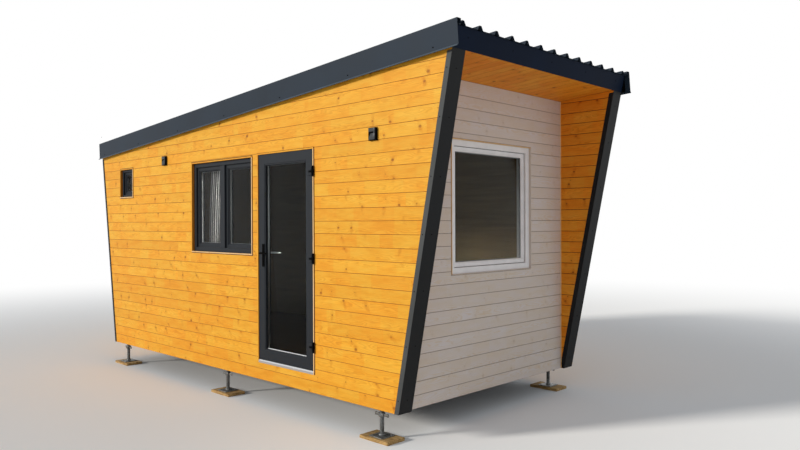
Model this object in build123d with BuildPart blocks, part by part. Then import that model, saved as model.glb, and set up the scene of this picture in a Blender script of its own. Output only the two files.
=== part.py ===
"""Tiny house on screw jacks: a timber cabin whose two ends lean outwards under a mono-pitch roof.

Millimetres. X runs along the house towards the recessed end wall, the door side faces -Y and Z is up.
The origin lies on level ground under the middle of the whole footprint. The cabin is drawn about its own
middle line and moved across by footprint_shift, because lights and handle stand out of one side only.
"""
import os
from math import cos, radians, sin, tan

from build123d import *

os.makedirs("parts", exist_ok=True)

# Body
body_width = 2610.0  # over the boards of the two long sides
boards_length = 5060.0  # of the door side, along its lower edge
sill_height = 255.0  # lower edge of the boards above the ground
eaves_rise = 2750.0  # from the lower edge of the boards to the verge, at the foot of the front corner
front_lean = 11.4  # degrees, both wings lean out over the recessed end
rear_lean = 8.6  # degrees
roof_slope = 4.05  # degrees, high at the recessed end
board_thickness = 19.0
wall_core = 110.0
front_face_reach = 10.0  # boards of the recessed end wall, past the foot of the front corner

# Chassis and floor
rail_width = 80.0
rail_height = 100.0
cross_member_width = 60.0
cross_member_count = 7
floor_thickness = 65.0

# Screw jacks
jack_front_inset = 203.0
jack_rear_inset = 248.0
stem_radius = 19.0
base_plate_size = 150.0
base_plate_thickness = 8.0
head_plate_size = 76.0
head_plate_thickness = 6.0
nut_radius = 31.0
nut_height = 30.0
nut_drop = 30.0  # from the head plate down to the nut
nut_wing_reach = 78.0
nut_wing_width = 16.0
nut_clearance = 0.3
pad_length = 330.0
pad_width = 200.0
pad_thickness = 28.0

# Roof
soffit_lift = 22.0  # soffit boards above the lower edge of the verge
deck_thickness = 131.0
sheet_thickness = 2.0
rib_pitch = 207.0
rib_height = 35.0
rib_crown = 22.0
rib_base = 66.0
sheet_nose = 15.0  # sheet past the front fascia
sheet_edge_gap = 3.0
verge_nose = 49.0  # foot of the verge past the front fascia
verge_tail = 28.0  # head of the verge past the rear boards
batten_thickness = 31.0
flashing_sheet = 2.0
verge_flange = 45.0
drip_height = 16.0
drip_flare = 12.0
fascia_drop = 7.0  # fascia below the soffit boards

# Corner trims
front_trim_return = 48.0
rear_trim_return = 40.0

# Doorway
doorway_inset = 1012.0  # behind the foot of the front corner
doorway_width = 843.0
doorway_top = 2189.0  # above the lower edge of the boards, as are the other heights
door_lining = 19.0
door_head_lining = 12.0
threshold_height = 30.0
threshold_depth = 120.0
threshold_proud = 6.0
leaf_recess = 1.0
leaf_gap_hinge = 5.0
leaf_gap_lock = 5.0
leaf_gap_top = 6.0
leaf_gap_bottom = 6.0
leaf_flange = 22.0
leaf_body_depth = 42.0
leaf_body_inset = 40.0
leaf_frame_width = 105.0
leaf_seal_gap = 5.0
glass_setback = 28.0
glass_thickness = 24.0
glass_bite = 14.0
frame_overlap = 30.0
frame_stop = 15.0
stop_depth = 28.0

# Hinges and handle
hinge_radius = 9.0
hinge_height = 95.0
hinge_plate = 4.0
hinge_plate_margin = 1.5  # plate inside the edges of the lining
hinge_barrel_gap = 0.5  # barrel off the lining
hinge_arm = 8.0
hinge_strap_height = 66.0
hinge_strap_width = 28.0
hinge_strap_inset = 2.0  # strap inside the leaf's edge
hinge_axis_gap = 20.0  # axis beside the leaf
hinge_knuckle_gap = 1.0
hinge_heights = (0.105, 0.505, 0.90)  # shares of the leaf's height
handle_rise = 1031.0  # lever above the foot of the leaf
handle_backset = 76.0
handle_plate_height = 218.0
handle_plate_width = 28.0
handle_plate_thickness = 8.0
plate_below_lever = 131.0
lever_length = 118.0
lever_radius = 9.0
lever_stand_off = 45.0
lever_gap = 0.3
lever_bend = 14.0
spindle_radius = 5.0
spindle_clearance = 2.0

# Windows
window_lining = 18.0
lining_proud = 6.0
double_inset = 1953.0
double_width = 1175.0
double_height = 989.0
small_corner_gap = 161.0  # before the foot of the rear corner
small_width = 370.0
small_height = 378.0
small_drop = 202.0  # below the verge
end_width = 1218.0
end_height = 1194.0
end_top = 2256.0
window_setback = 23.0
end_window_setback = 16.0
window_frame_depth = 70.0
outer_frame_width = 45.0
end_lining = 8.0
end_frame_width = 55.0
mullion_width = 84.0
sash_width = 33.0
small_frame_width = 30.0
small_sash_width = 28.0
sash_depth = 58.0
sash_setback = 20.0
bead_width = 14.0
bead_setback = 6.0
pane_thickness = 24.0
pane_setback = 16.0
pane_bite = 12.0

# Fittings
light_width = 92.0
light_height = 106.0
light_depth = 28.0
light_drop = 190.0  # below the verge at the rear light
front_light_inset = 222.0
rear_light_gap = 814.0  # before the small window
light_bevel = 6.0
curtain_width = 470.0
curtain_length = 1010.0
curtain_thickness = 44.0
curtain_gap = 26.0
rail_radius = 8.0
curtain_rail_rise = 60.0
bracket_inset = 60.0

# Lines and places that follow from the sizes
front_tan = tan(radians(front_lean))
rear_tan = tan(radians(rear_lean))
slope_tan = tan(radians(roof_slope))
slope_direction = (cos(radians(roof_slope)), 0, sin(radians(roof_slope)))
half_width = body_width / 2
core_out = half_width - board_thickness
core_in = core_out - wall_core
rear_board_step = board_thickness / cos(radians(rear_lean))
rear_core_step = wall_core / cos(radians(rear_lean))
deck_lift = soffit_lift + board_thickness
deck_top_lift = deck_lift + deck_thickness
fascia_proud = front_trim_return + flashing_sheet
crown_lift = deck_top_lift + sheet_thickness + rib_height
rib_count = int((body_width - rib_base - rib_crown - 2 * sheet_edge_gap) // rib_pitch) + 1
small_inset = boards_length - small_corner_gap - small_width
light_insets = (front_light_inset, small_inset - rear_light_gap)
small_top = eaves_rise - (small_inset + small_width / 2) * slope_tan - small_drop
light_top = eaves_rise - max(light_insets) * slope_tan - light_drop
fascia_head_reach = (front_tan * (eaves_rise + deck_top_lift) + fascia_proud) / (1 - front_tan * slope_tan)
roof_front_reach = fascia_head_reach + verge_nose
roof_rear_reach = (boards_length + rear_tan * eaves_rise) / (1 + rear_tan * slope_tan) + verge_tail
front_foot_x = (roof_rear_reach - roof_front_reach) / 2
rear_foot_x = front_foot_x - boards_length
roof_front_x = front_foot_x + roof_front_reach
roof_rear_x = front_foot_x - roof_rear_reach
sheet_front_x = front_foot_x + fascia_head_reach + sheet_nose
eaves_height = sill_height + eaves_rise
end_face_x = front_foot_x + front_face_reach
end_core_out_x = end_face_x - board_thickness
end_core_in_x = end_core_out_x - wall_core
rail_top = sill_height + rail_height
floor_top = rail_top + floor_thickness
verge_face = half_width + batten_thickness + flashing_sheet
verge_reach = verge_face + drip_flare
lever_reach = half_width - leaf_recess + handle_plate_thickness + lever_gap + lever_stand_off + lever_radius
footprint_shift = (max(verge_reach, lever_reach, half_width + light_depth) - verge_reach) / 2


def front_line(height, proud=0.0):
    """X of the leaning front edge at a height, a distance in front of the boards."""
    return front_foot_x + proud + (height - sill_height) * front_tan


def rear_line(height, inwards=0.0):
    """X of the leaning rear edge at a height, a distance inside the boards."""
    return rear_foot_x + inwards - (height - sill_height) * rear_tan


def slope_line(x, lift=0.0):
    """Height of the roof's slope at x, a lift above the lower edge of the verge."""
    return eaves_height + lift + (x - front_foot_x) * slope_tan


def front_head(lift, proud=0.0):
    """Point where the leaning front edge meets the slope."""
    rise = eaves_rise + lift
    x = front_foot_x + (front_tan * rise + proud) / (1 - front_tan * slope_tan)
    return (x, slope_line(x, lift))


def rear_head(lift, inwards=0.0):
    """Point where the leaning rear edge meets the slope."""
    rise = eaves_rise + lift
    x = front_foot_x + (inwards - boards_length - rear_tan * rise) / (1 + rear_tan * slope_tan)
    return (x, slope_line(x, lift))


def slab_along_y(points, y_low, y_high):
    """Plate with an outline in X and Z."""
    with BuildPart() as plate:
        with BuildSketch(Plane.XZ.offset(-y_high)):
            with BuildLine():
                Polyline(points, close=True)
            make_face()
        extrude(amount=y_high - y_low)
    return plate.part


def run_up_slope(points, x_low, x_high):
    """Profile in Y and Z, with heights above the verge's lower edge, run along the roof's slope."""
    base = slope_line(x_low)
    with BuildPart() as run:
        with BuildSketch(Plane.YZ.offset(x_low)):
            with BuildLine():
                Polyline([(y, base + rise) for y, rise in points], close=True)
            make_face()
        extrude(amount=(x_high - x_low) / slope_direction[0], dir=slope_direction)
    return run.part


def run_square(points, x_low, x_high):
    """Profile run up the slope with square ends, from its head at x_low to its foot at x_high."""
    run, rise = slope_direction[0], slope_direction[2]
    start = x_low + max(height for y, height in points) * run * rise
    across = Plane(origin=(start, 0, slope_line(start)), x_dir=(0, 1, 0), z_dir=slope_direction)
    with BuildPart() as strip:
        with BuildSketch(across):
            with BuildLine():
                Polyline([(y, height * run) for y, height in points], close=True)
            make_face()
        extrude(amount=(x_high - start) / run)
    return strip.part


def ring(face, width, height, border, front, back):
    """Rectangular frame set behind a wall face, from the depth front to the depth back."""
    with BuildPart() as frame:
        with BuildSketch(face.offset(-back)):
            Rectangle(width, height)
            Rectangle(width - 2 * border, height - 2 * border, mode=Mode.SUBTRACT)
        extrude(amount=back - front)
    return frame.part


def pane(face, width, height, front, back):
    """Plain rectangular plate set behind a wall face."""
    with BuildPart() as plate:
        with BuildSketch(face.offset(-back)):
            Rectangle(width, height)
        extrude(amount=back - front)
    return plate.part


def door_side_face(inset, width, top, height):
    """Drawing plane on the door side's boards, centred on an opening."""
    centre = (front_foot_x - inset - width / 2, -half_width, sill_height + top - height / 2)
    return Plane(origin=centre, x_dir=(1, 0, 0), z_dir=(0, -1, 0))


def keep(piece, label):
    """Centre a finished piece on the footprint, label it and write its file."""
    placed = piece.moved(Location((0, footprint_shift, 0)))
    placed.label = label
    export_step(placed, f"parts/{label}.step")


def together(pieces, label):
    """Write like pieces that do not touch as one node."""
    with BuildPart() as group:
        for piece in pieces:
            add(piece)
    keep(group.part, label)


double_face = door_side_face(double_inset, double_width, doorway_top, double_height)
small_face = door_side_face(small_inset, small_width, small_top, small_height)
end_face = Plane(
    origin=(end_face_x, 0, sill_height + end_top - end_height / 2),
    x_dir=(0, 1, 0),
    z_dir=(1, 0, 0),
)
wall_depth = board_thickness + wall_core

doorway_front_x = front_foot_x - doorway_inset
doorway_rear_x = doorway_front_x - doorway_width
doorway_head = sill_height + doorway_top
opening_front_x = doorway_front_x + door_lining
opening_rear_x = doorway_rear_x - door_lining
opening_head = doorway_head + door_head_lining


# Chassis: two long rails, cross members between them and the floor on top
rail_rear_x = rear_line(sill_height, rear_board_step)
rail_front_x = end_core_out_x
with BuildPart() as chassis_rails:
    for side in (-1, 1):
        with BuildSketch(Plane.XY.offset(sill_height)):
            with Locations(((rail_rear_x + rail_front_x) / 2, side * (core_out - rail_width / 2))):
                Rectangle(rail_front_x - rail_rear_x, rail_width)
        extrude(amount=rail_height)
keep(chassis_rails.part, "chassis_rails")

member_span = rail_front_x - rail_rear_x - cross_member_width
with BuildPart() as chassis_cross_members:
    for index in range(cross_member_count):
        member_x = rail_rear_x + cross_member_width / 2 + member_span * index / (cross_member_count - 1)
        with BuildSketch(Plane.XY.offset(sill_height)):
            with Locations((member_x, 0)):
                Rectangle(cross_member_width, 2 * (core_out - rail_width))
        extrude(amount=rail_height)
keep(chassis_cross_members.part, "chassis_cross_members")

floor_outline = [
    (rear_line(rail_top, rear_board_step + rear_core_step), rail_top),
    (end_core_in_x, rail_top),
    (end_core_in_x, floor_top),
    (rear_line(floor_top, rear_board_step + rear_core_step), floor_top),
]
keep(slab_along_y(floor_outline, -core_in, core_in), "floor_deck")


# Long walls, the door side split beside and over its doorway
def wall_between(x_low, x_high, foot):
    """Outline of a stretch of long wall between two upright lines."""
    return [
        (x_low, foot),
        (x_high, foot),
        (x_high, slope_line(x_high, deck_lift)),
        (x_low, slope_line(x_low, deck_lift)),
    ]


wing_proud = front_trim_return - flashing_sheet
front_outline = [
    (opening_front_x, rail_top),
    (front_line(rail_top, wing_proud), rail_top),
    front_head(deck_lift, wing_proud),
    (opening_front_x, slope_line(opening_front_x, deck_lift)),
]
keep(slab_along_y(front_outline, -core_out, -core_in), "door_wall_front")

with BuildPart() as door_wall_head:
    with BuildSketch(Plane.XZ.offset(core_in)):
        with BuildLine():
            Polyline(wall_between(opening_rear_x, opening_front_x, opening_head), close=True)
        make_face()
    extrude(amount=wall_core)
keep(door_wall_head.part, "door_wall_head")

sill_outline = [
    (opening_rear_x, rail_top),
    (opening_front_x, rail_top),
    (opening_front_x, floor_top),
    (opening_rear_x, floor_top),
]
keep(slab_along_y(sill_outline, -core_out, -core_in), "door_wall_sill")

rear_panel_outline = [
    (rear_line(rail_top, rear_board_step), rail_top),
    (opening_rear_x, rail_top),
    (opening_rear_x, slope_line(opening_rear_x, deck_lift)),
    rear_head(deck_lift, rear_board_step),
]
with BuildPart() as door_wall_rear:
    add(slab_along_y(rear_panel_outline, -core_out, -core_in))
    for face, width, height in ((double_face, double_width, double_height),
                                (small_face, small_width, small_height)):
        with BuildSketch(face):
            Rectangle(width, height)
        extrude(amount=-2 * wall_depth, mode=Mode.SUBTRACT)
keep(door_wall_rear.part, "door_wall_rear")

far_outline = [
    (rear_line(rail_top, rear_board_step), rail_top),
    (front_line(rail_top, wing_proud), rail_top),
    front_head(deck_lift, wing_proud),
    rear_head(deck_lift, rear_board_step),
]
keep(slab_along_y(far_outline, core_in, core_out), "far_wall")


# End walls between the long walls
rear_wall_outline = [
    (rear_line(rail_top, rear_board_step), rail_top),
    (rear_line(rail_top, rear_board_step + rear_core_step), rail_top),
    rear_head(deck_lift, rear_board_step + rear_core_step),
    rear_head(deck_lift, rear_board_step),
]
keep(slab_along_y(rear_wall_outline, -core_in, core_in), "rear_wall")

end_wall_outline = [
    (end_core_in_x, rail_top),
    (end_core_out_x, rail_top),
    (end_core_out_x, slope_line(end_core_out_x, deck_lift)),
    (end_core_in_x, slope_line(end_core_in_x, deck_lift)),
]
with BuildPart() as front_end_wall:
    add(slab_along_y(end_wall_outline, -core_in, core_in))
    with BuildSketch(end_face):
        Rectangle(end_width, end_height)
    extrude(amount=-2 * wall_depth, mode=Mode.SUBTRACT)
keep(front_end_wall.part, "front_end_wall")


# Boards on every side
side_boards_outline = [
    (rear_foot_x, sill_height),
    (front_line(sill_height, wing_proud), sill_height),
    front_head(deck_lift, wing_proud),
    rear_head(deck_lift),
]
with BuildPart() as door_side_boards:
    add(slab_along_y(side_boards_outline, -half_width, -core_out))
    with BuildSketch(Plane.XZ.offset(half_width)):
        with BuildLine():
            Polyline([(opening_rear_x, floor_top), (opening_front_x, floor_top),
                      (opening_front_x, opening_head), (opening_rear_x, opening_head)], close=True)
        make_face()
    extrude(amount=-board_thickness, mode=Mode.SUBTRACT)
    for face, width, height in ((double_face, double_width, double_height),
                                (small_face, small_width, small_height)):
        with BuildSketch(face):
            Rectangle(width, height)
        extrude(amount=-board_thickness, mode=Mode.SUBTRACT)
keep(door_side_boards.part, "door_side_boards")
keep(slab_along_y(side_boards_outline, core_out, half_width), "far_side_boards")

rear_boards_outline = [
    (rear_foot_x, sill_height),
    (rear_line(sill_height, rear_board_step), sill_height),
    rear_head(deck_lift, rear_board_step),
    rear_head(deck_lift),
]
keep(slab_along_y(rear_boards_outline, -core_out, core_out), "rear_end_boards")

end_boards_outline = [
    (end_core_out_x, sill_height),
    (end_face_x, sill_height),
    (end_face_x, slope_line(end_face_x, soffit_lift)),
    (end_core_out_x, slope_line(end_core_out_x, soffit_lift)),
]
with BuildPart() as front_end_boards:
    add(slab_along_y(end_boards_outline, -core_in, core_in))
    with BuildSketch(end_face):
        Rectangle(end_width, end_height)
    extrude(amount=-board_thickness, mode=Mode.SUBTRACT)
keep(front_end_boards.part, "front_end_boards")

wing_lining_outline = [
    (end_face_x, sill_height),
    (front_line(sill_height, wing_proud), sill_height),
    front_head(soffit_lift, wing_proud),
    (end_face_x, slope_line(end_face_x, soffit_lift)),
]
wing_linings = [
    slab_along_y(wing_lining_outline, -core_in, -core_in + board_thickness),
    slab_along_y(wing_lining_outline, core_in - board_thickness, core_in),
]
together(wing_linings, "wing_lining_boards")

soffit_outline = [
    (end_core_out_x, slope_line(end_core_out_x, soffit_lift)),
    front_head(soffit_lift, wing_proud),
    front_head(deck_lift, wing_proud),
    (end_core_out_x, slope_line(end_core_out_x, deck_lift)),
]
keep(slab_along_y(soffit_outline, -core_in, core_in), "porch_soffit")


# Roof: deck, trapezoid sheet, battens and folded flashings
deck_outline = [
    rear_head(deck_lift),
    front_head(deck_lift, wing_proud),
    front_head(deck_top_lift, wing_proud),
    rear_head(deck_top_lift),
]
keep(slab_along_y(deck_outline, -half_width, half_width), "roof_deck")


def rib_profile(rise):
    """Upper or lower line of the trapezoid sheet, from the door side to the far side."""
    points = [(-half_width + sheet_edge_gap, rise)]
    for index in range(rib_count):
        middle = (index - (rib_count - 1) / 2) * rib_pitch
        points += [
            (middle - rib_base / 2, rise),
            (middle - rib_crown / 2, rise + rib_height),
            (middle + rib_crown / 2, rise + rib_height),
            (middle + rib_base / 2, rise),
        ]
    points.append((half_width - sheet_edge_gap, rise))
    return points


sheet_profile = rib_profile(deck_top_lift) + rib_profile(deck_top_lift + sheet_thickness)[::-1]
keep(run_up_slope(sheet_profile, roof_rear_x, sheet_front_x), "roof_sheet")

batten_rear_x = roof_rear_x + flashing_sheet
batten_front_x = front_head(deck_top_lift, wing_proud)[0]


def batten_profile(side):
    """Batten that holds the flashing off the boards."""
    low = drip_height
    high = crown_lift - flashing_sheet
    inner = side * half_width
    outer = side * (half_width + batten_thickness)
    return [(inner, low), (outer, low), (outer, high), (inner, high)]


def verge_profile(side):
    """Folded verge: drip flare, face, flange over the sheet and the turned-down edge that sits on it."""
    face_out = verge_face
    face_in = verge_face - flashing_sheet
    foot = deck_top_lift + sheet_thickness
    flange_in = face_out - verge_flange
    outline = [
        (face_out + drip_flare, 0),
        (face_out, drip_height),
        (face_out, crown_lift),
        (flange_in, crown_lift),
        (flange_in, foot),
        (flange_in + flashing_sheet, foot),
        (flange_in + flashing_sheet, crown_lift - flashing_sheet),
        (face_in, crown_lift - flashing_sheet),
        (face_in, drip_height),
        (face_out + drip_flare - flashing_sheet, 0),
    ]
    return [(side * y, rise) for y, rise in outline]


battens = [run_square(batten_profile(side), batten_rear_x, batten_front_x) for side in (-1, 1)]
together(battens, "verge_battens")
keep(run_square(verge_profile(-1), roof_rear_x, roof_front_x), "door_side_verge")
keep(run_square(verge_profile(1), roof_rear_x, roof_front_x), "far_side_verge")

fascia_foot = soffit_lift - fascia_drop
front_fascia_outline = [
    front_head(fascia_foot, fascia_proud),
    front_head(deck_top_lift, fascia_proud),
    front_head(deck_top_lift, front_trim_return),
    front_head(fascia_foot, front_trim_return),
]
keep(slab_along_y(front_fascia_outline, -half_width, half_width), "front_fascia")

rear_fascia_outline = [
    rear_head(0, -flashing_sheet),
    rear_head(0),
    rear_head(deck_top_lift),
    rear_head(deck_top_lift, -flashing_sheet),
]
keep(slab_along_y(rear_fascia_outline, -half_width, half_width), "rear_fascia")


# Corner trims: a folded U round each wing's end and an angle on each rear corner
wing_inner = core_in - board_thickness
trim_head = front_head(fascia_foot, front_trim_return)


def front_trim(side):
    """Folded U round the end of one wing, with its inner return stopping at the end wall's boards."""
    web = [
        (front_line(sill_height, wing_proud), sill_height),
        (front_line(sill_height, front_trim_return), sill_height),
        trim_head,
        front_head(fascia_foot, wing_proud),
    ]
    return_outline = [
        (front_foot_x, sill_height),
        (front_line(sill_height, front_trim_return), sill_height),
        front_head(0, front_trim_return),
        front_head(0),
    ]
    outer_low, outer_high = sorted((side * half_width, side * (half_width + flashing_sheet)))
    inner_low, inner_high = sorted((side * (wing_inner - flashing_sheet), side * wing_inner))
    web_low, web_high = sorted((side * (wing_inner - flashing_sheet), side * (half_width + flashing_sheet)))
    with BuildPart() as inner_return:
        add(slab_along_y(return_outline, inner_low, inner_high))
        split(bisect_by=Plane.YZ.offset(end_face_x), keep=Keep.TOP)
    with BuildPart() as trim:
        add(slab_along_y(web, web_low, web_high))
        add(slab_along_y(return_outline, outer_low, outer_high))
        add(inner_return.part)
    return trim.part


def rear_trim(side):
    """Folded angle on one rear corner."""
    rear_leg = [
        (rear_line(sill_height, -flashing_sheet), sill_height),
        (rear_foot_x, sill_height),
        rear_head(0),
        rear_head(0, -flashing_sheet),
    ]
    side_leg = [
        (rear_line(sill_height, -flashing_sheet), sill_height),
        (rear_line(sill_height, rear_trim_return), sill_height),
        rear_head(0, rear_trim_return),
        rear_head(0, -flashing_sheet),
    ]
    side_low, side_high = sorted((side * half_width, side * (half_width + flashing_sheet)))
    rear_low, rear_high = sorted((side * (half_width - rear_trim_return), side * half_width))
    with BuildPart() as trim:
        add(slab_along_y(side_leg, side_low, side_high))
        add(slab_along_y(rear_leg, rear_low, rear_high))
    return trim.part


together([front_trim(-1), front_trim(1)], "front_corner_trims")
together([rear_trim(-1), rear_trim(1)], "rear_corner_trims")


# Doorway: lining, threshold and frame
threshold_top = floor_top + threshold_height
door_lining_outline = [
    (opening_rear_x, floor_top),
    (doorway_rear_x, floor_top),
    (doorway_rear_x, doorway_head),
    (doorway_front_x, doorway_head),
    (doorway_front_x, floor_top),
    (opening_front_x, floor_top),
    (opening_front_x, opening_head),
    (opening_rear_x, opening_head),
]
keep(slab_along_y(door_lining_outline, -half_width - lining_proud, -core_in), "door_lining")

threshold_nose = half_width + threshold_proud
with BuildPart() as door_threshold:
    with BuildSketch(Plane.YZ.offset(doorway_rear_x)):
        with BuildLine():
            Polyline([(-threshold_nose, floor_top), (threshold_depth - threshold_nose, floor_top),
                      (threshold_depth - threshold_nose, threshold_top),
                      (-half_width + leaf_recess, threshold_top),
                      (-threshold_nose, threshold_top - threshold_height / 3)], close=True)
        make_face()
    extrude(amount=doorway_width)
keep(door_threshold.part, "door_threshold")

leaf_rear_x = doorway_rear_x + leaf_gap_lock
leaf_front_x = doorway_front_x - leaf_gap_hinge
leaf_foot = threshold_top + leaf_gap_bottom
leaf_head = doorway_head - leaf_gap_top
leaf_width = leaf_front_x - leaf_rear_x
leaf_height = leaf_head - leaf_foot
leaf_face_y = -half_width + leaf_recess
flange_back_y = leaf_face_y + leaf_flange
leaf_back_y = flange_back_y + leaf_body_depth
frame_face_y = flange_back_y + leaf_seal_gap
stop_face_y = leaf_back_y + leaf_seal_gap
frame_back_y = stop_face_y + stop_depth


def portal(step, y_front, y_back):
    """Three-sided frame that stands on the threshold, its inner edge a step past the leaf's edge."""
    rear_x = leaf_rear_x + step
    front_x = leaf_front_x - step
    head = leaf_head - step
    return slab_along_y([(doorway_rear_x, threshold_top), (rear_x, threshold_top), (rear_x, head),
                         (front_x, head), (front_x, threshold_top), (doorway_front_x, threshold_top),
                         (doorway_front_x, doorway_head), (doorway_rear_x, doorway_head)],
                        y_front, y_back)


with BuildPart() as door_frame:
    add(portal(frame_overlap, frame_face_y, frame_back_y))
    add(portal(frame_overlap + frame_stop, stop_face_y, frame_back_y))
keep(door_frame.part, "door_frame")


# Door leaf: a flange over the frame, a narrower body behind it and one large pane
leaf_centre = ((leaf_rear_x + leaf_front_x) / 2, leaf_face_y, (leaf_foot + leaf_head) / 2)
leaf_face = Plane(origin=leaf_centre, x_dir=(1, 0, 0), z_dir=(0, -1, 0))
glass_width = leaf_width - 2 * leaf_frame_width
glass_height = leaf_height - 2 * leaf_frame_width
lever_z = leaf_foot + handle_rise
lever_x = leaf_rear_x + handle_backset
body_outline = [
    (leaf_rear_x + leaf_body_inset, leaf_foot),
    (leaf_front_x - leaf_body_inset, leaf_foot),
    (leaf_front_x - leaf_body_inset, leaf_head - leaf_body_inset),
    (leaf_rear_x + leaf_body_inset, leaf_head - leaf_body_inset),
]
with BuildPart() as door_leaf:
    add(pane(leaf_face, leaf_width, leaf_height, 0, leaf_flange))
    add(slab_along_y(body_outline, flange_back_y, leaf_back_y))
    with BuildSketch(leaf_face):
        Rectangle(glass_width, glass_height)
    extrude(amount=leaf_face_y - leaf_back_y, mode=Mode.SUBTRACT)
    add(pane(leaf_face, glass_width + 2 * glass_bite, glass_height + 2 * glass_bite,
             glass_setback, glass_setback + glass_thickness), mode=Mode.SUBTRACT)
    with BuildSketch(Plane.XZ.offset(-leaf_face_y)):
        with Locations((lever_x, lever_z)):
            Circle(spindle_radius + spindle_clearance)
    extrude(amount=leaf_face_y - leaf_back_y, mode=Mode.SUBTRACT)
keep(door_leaf.part, "door_leaf")
keep(pane(leaf_face, glass_width + 2 * glass_bite, glass_height + 2 * glass_bite,
          glass_setback, glass_setback + glass_thickness), "door_glass")


# Hinges: the outer knuckles and plate on the lining, the middle knuckle and strap on the leaf
lining_face_y = -half_width - lining_proud
hinge_x = leaf_front_x + hinge_axis_gap
hinge_y = lining_face_y - hinge_barrel_gap - hinge_radius
knuckle_height = (hinge_height - 2 * hinge_knuckle_gap) / 3
hinge_centres = [leaf_foot + share * leaf_height for share in hinge_heights]


def upright(x, y, z_low, z_high, radius):
    """Upright round bar."""
    with BuildPart() as bar:
        with BuildSketch(Plane.XY.offset(z_low)):
            with Locations((x, y)):
                Circle(radius)
        extrude(amount=z_high - z_low)
    return bar.part


def block(x_low, x_high, y_low, y_high, z_low, z_high):
    """Plain block between six planes."""
    return slab_along_y([(x_low, z_low), (x_high, z_low), (x_high, z_high), (x_low, z_high)], y_low, y_high)


def wall_hinge(centre):
    """Plate on the lining with an upper and a lower knuckle."""
    low = centre - hinge_height / 2
    high = centre + hinge_height / 2
    clear = knuckle_height / 2 + hinge_knuckle_gap
    with BuildPart() as hinge:
        add(block(doorway_front_x + hinge_plate_margin, opening_front_x - hinge_plate_margin,
                  lining_face_y - hinge_plate, lining_face_y, low, high))
        add(upright(hinge_x, hinge_y, low, high, hinge_radius))
        add(upright(hinge_x, hinge_y, centre - clear, centre + clear,
                    hinge_radius + hinge_knuckle_gap), mode=Mode.SUBTRACT)
    return hinge.part


def leaf_hinge(centre):
    """Strap on the leaf with an arm to the middle knuckle."""
    strap_front_x = leaf_front_x - hinge_strap_inset
    strap_face_y = hinge_y - hinge_arm / 2
    with BuildPart() as hinge:
        add(block(strap_front_x - hinge_strap_width, strap_front_x, strap_face_y, leaf_face_y,
                  centre - hinge_strap_height / 2, centre + hinge_strap_height / 2))
        add(block(strap_front_x, hinge_x, strap_face_y, strap_face_y + hinge_arm,
                  centre - knuckle_height / 2, centre + knuckle_height / 2))
        add(upright(hinge_x, hinge_y, centre - knuckle_height / 2, centre + knuckle_height / 2,
                    hinge_radius))
    return hinge.part


together([wall_hinge(centre) for centre in hinge_centres], "wall_hinges")
together([leaf_hinge(centre) for centre in hinge_centres], "leaf_hinges")


# Handle: a long plate on each face of the leaf and the two levers on their spindle
plate_low = lever_z - plate_below_lever
plate_high = plate_low + handle_plate_height
plate_faces = (
    (leaf_face_y - handle_plate_thickness, leaf_face_y),
    (leaf_back_y, leaf_back_y + handle_plate_thickness),
)
with BuildPart() as handle_plates:
    for y_low, y_high in plate_faces:
        add(block(lever_x - handle_plate_width / 2, lever_x + handle_plate_width / 2,
                  y_low, y_high, plate_low, plate_high))
    with BuildSketch(Plane.XZ.offset(-plate_faces[0][0])):
        with Locations((lever_x, lever_z)):
            Circle(spindle_radius + spindle_clearance)
    extrude(amount=plate_faces[0][0] - plate_faces[1][1], mode=Mode.SUBTRACT)
keep(handle_plates.part, "handle_plates")

with BuildPart() as door_levers:
    for side, plate_y in ((-1, plate_faces[0][0]), (1, plate_faces[1][1])):
        neck_y = plate_y + side * lever_gap
        bar_y = neck_y + side * lever_stand_off
        with BuildLine() as grip_line:
            FilletPolyline((lever_x, neck_y, lever_z), (lever_x, bar_y, lever_z),
                           (lever_x + lever_length, bar_y, lever_z), radius=lever_bend)
        with BuildSketch(Plane(origin=(lever_x, neck_y, lever_z), x_dir=(1, 0, 0), z_dir=(0, side, 0))):
            Circle(lever_radius)
        sweep(path=grip_line.line)
    with BuildSketch(Plane.XZ.offset(-plate_faces[1][1] - lever_gap)):
        with Locations((lever_x, lever_z)):
            Circle(spindle_radius)
    extrude(amount=plate_faces[1][1] - plate_faces[0][0] + 2 * lever_gap)
keep(door_levers.part, "door_levers")


# Windows: lining, outer frame, sashes and panes, each sunk behind the boards' face
def window_opening(face, width, height, thickness):
    """Lining boards round an opening, from just proud of the boards to the inside of the wall."""
    return ring(face, width, height, thickness, -lining_proud, wall_depth)


def sash(face, width, height, border, front):
    """One sash with its glazing bead and the groove that holds the pane."""
    with BuildPart() as leaf:
        add(ring(face, width, height, border, front, front + sash_depth))
        add(ring(face, width, height, border + bead_width, front + bead_setback, front + sash_depth))
        add(sash_pane(face, width, height, border, front), mode=Mode.SUBTRACT)
    return leaf.part


def sash_pane(face, width, height, border, front):
    """Pane of one sash, a bite larger all round than the opening that it fills."""
    pane_front = front + pane_setback
    spare = 2 * (border + bead_width - pane_bite)
    return pane(face, width - spare, height - spare, pane_front, pane_front + pane_thickness)


door_side_linings = [
    window_opening(double_face, double_width, double_height, window_lining),
    window_opening(small_face, small_width, small_height, window_lining),
]
together(door_side_linings, "door_side_window_linings")
keep(window_opening(end_face, end_width, end_height, end_lining), "end_window_lining")

double_clear = (double_width - 2 * window_lining, double_height - 2 * window_lining)
small_clear = (small_width - 2 * window_lining, small_height - 2 * window_lining)
end_clear = (end_width - 2 * end_lining, end_height - 2 * end_lining)
window_back = window_setback + window_frame_depth
with BuildPart() as double_frame:
    add(ring(double_face, *double_clear, outer_frame_width, window_setback, window_back))
    add(pane(double_face, mullion_width, double_clear[1] - 2 * outer_frame_width,
             window_setback, window_back))
small_frame = ring(small_face, *small_clear, small_frame_width, window_setback, window_back)
together([double_frame.part, small_frame], "door_side_window_frames")

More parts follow.
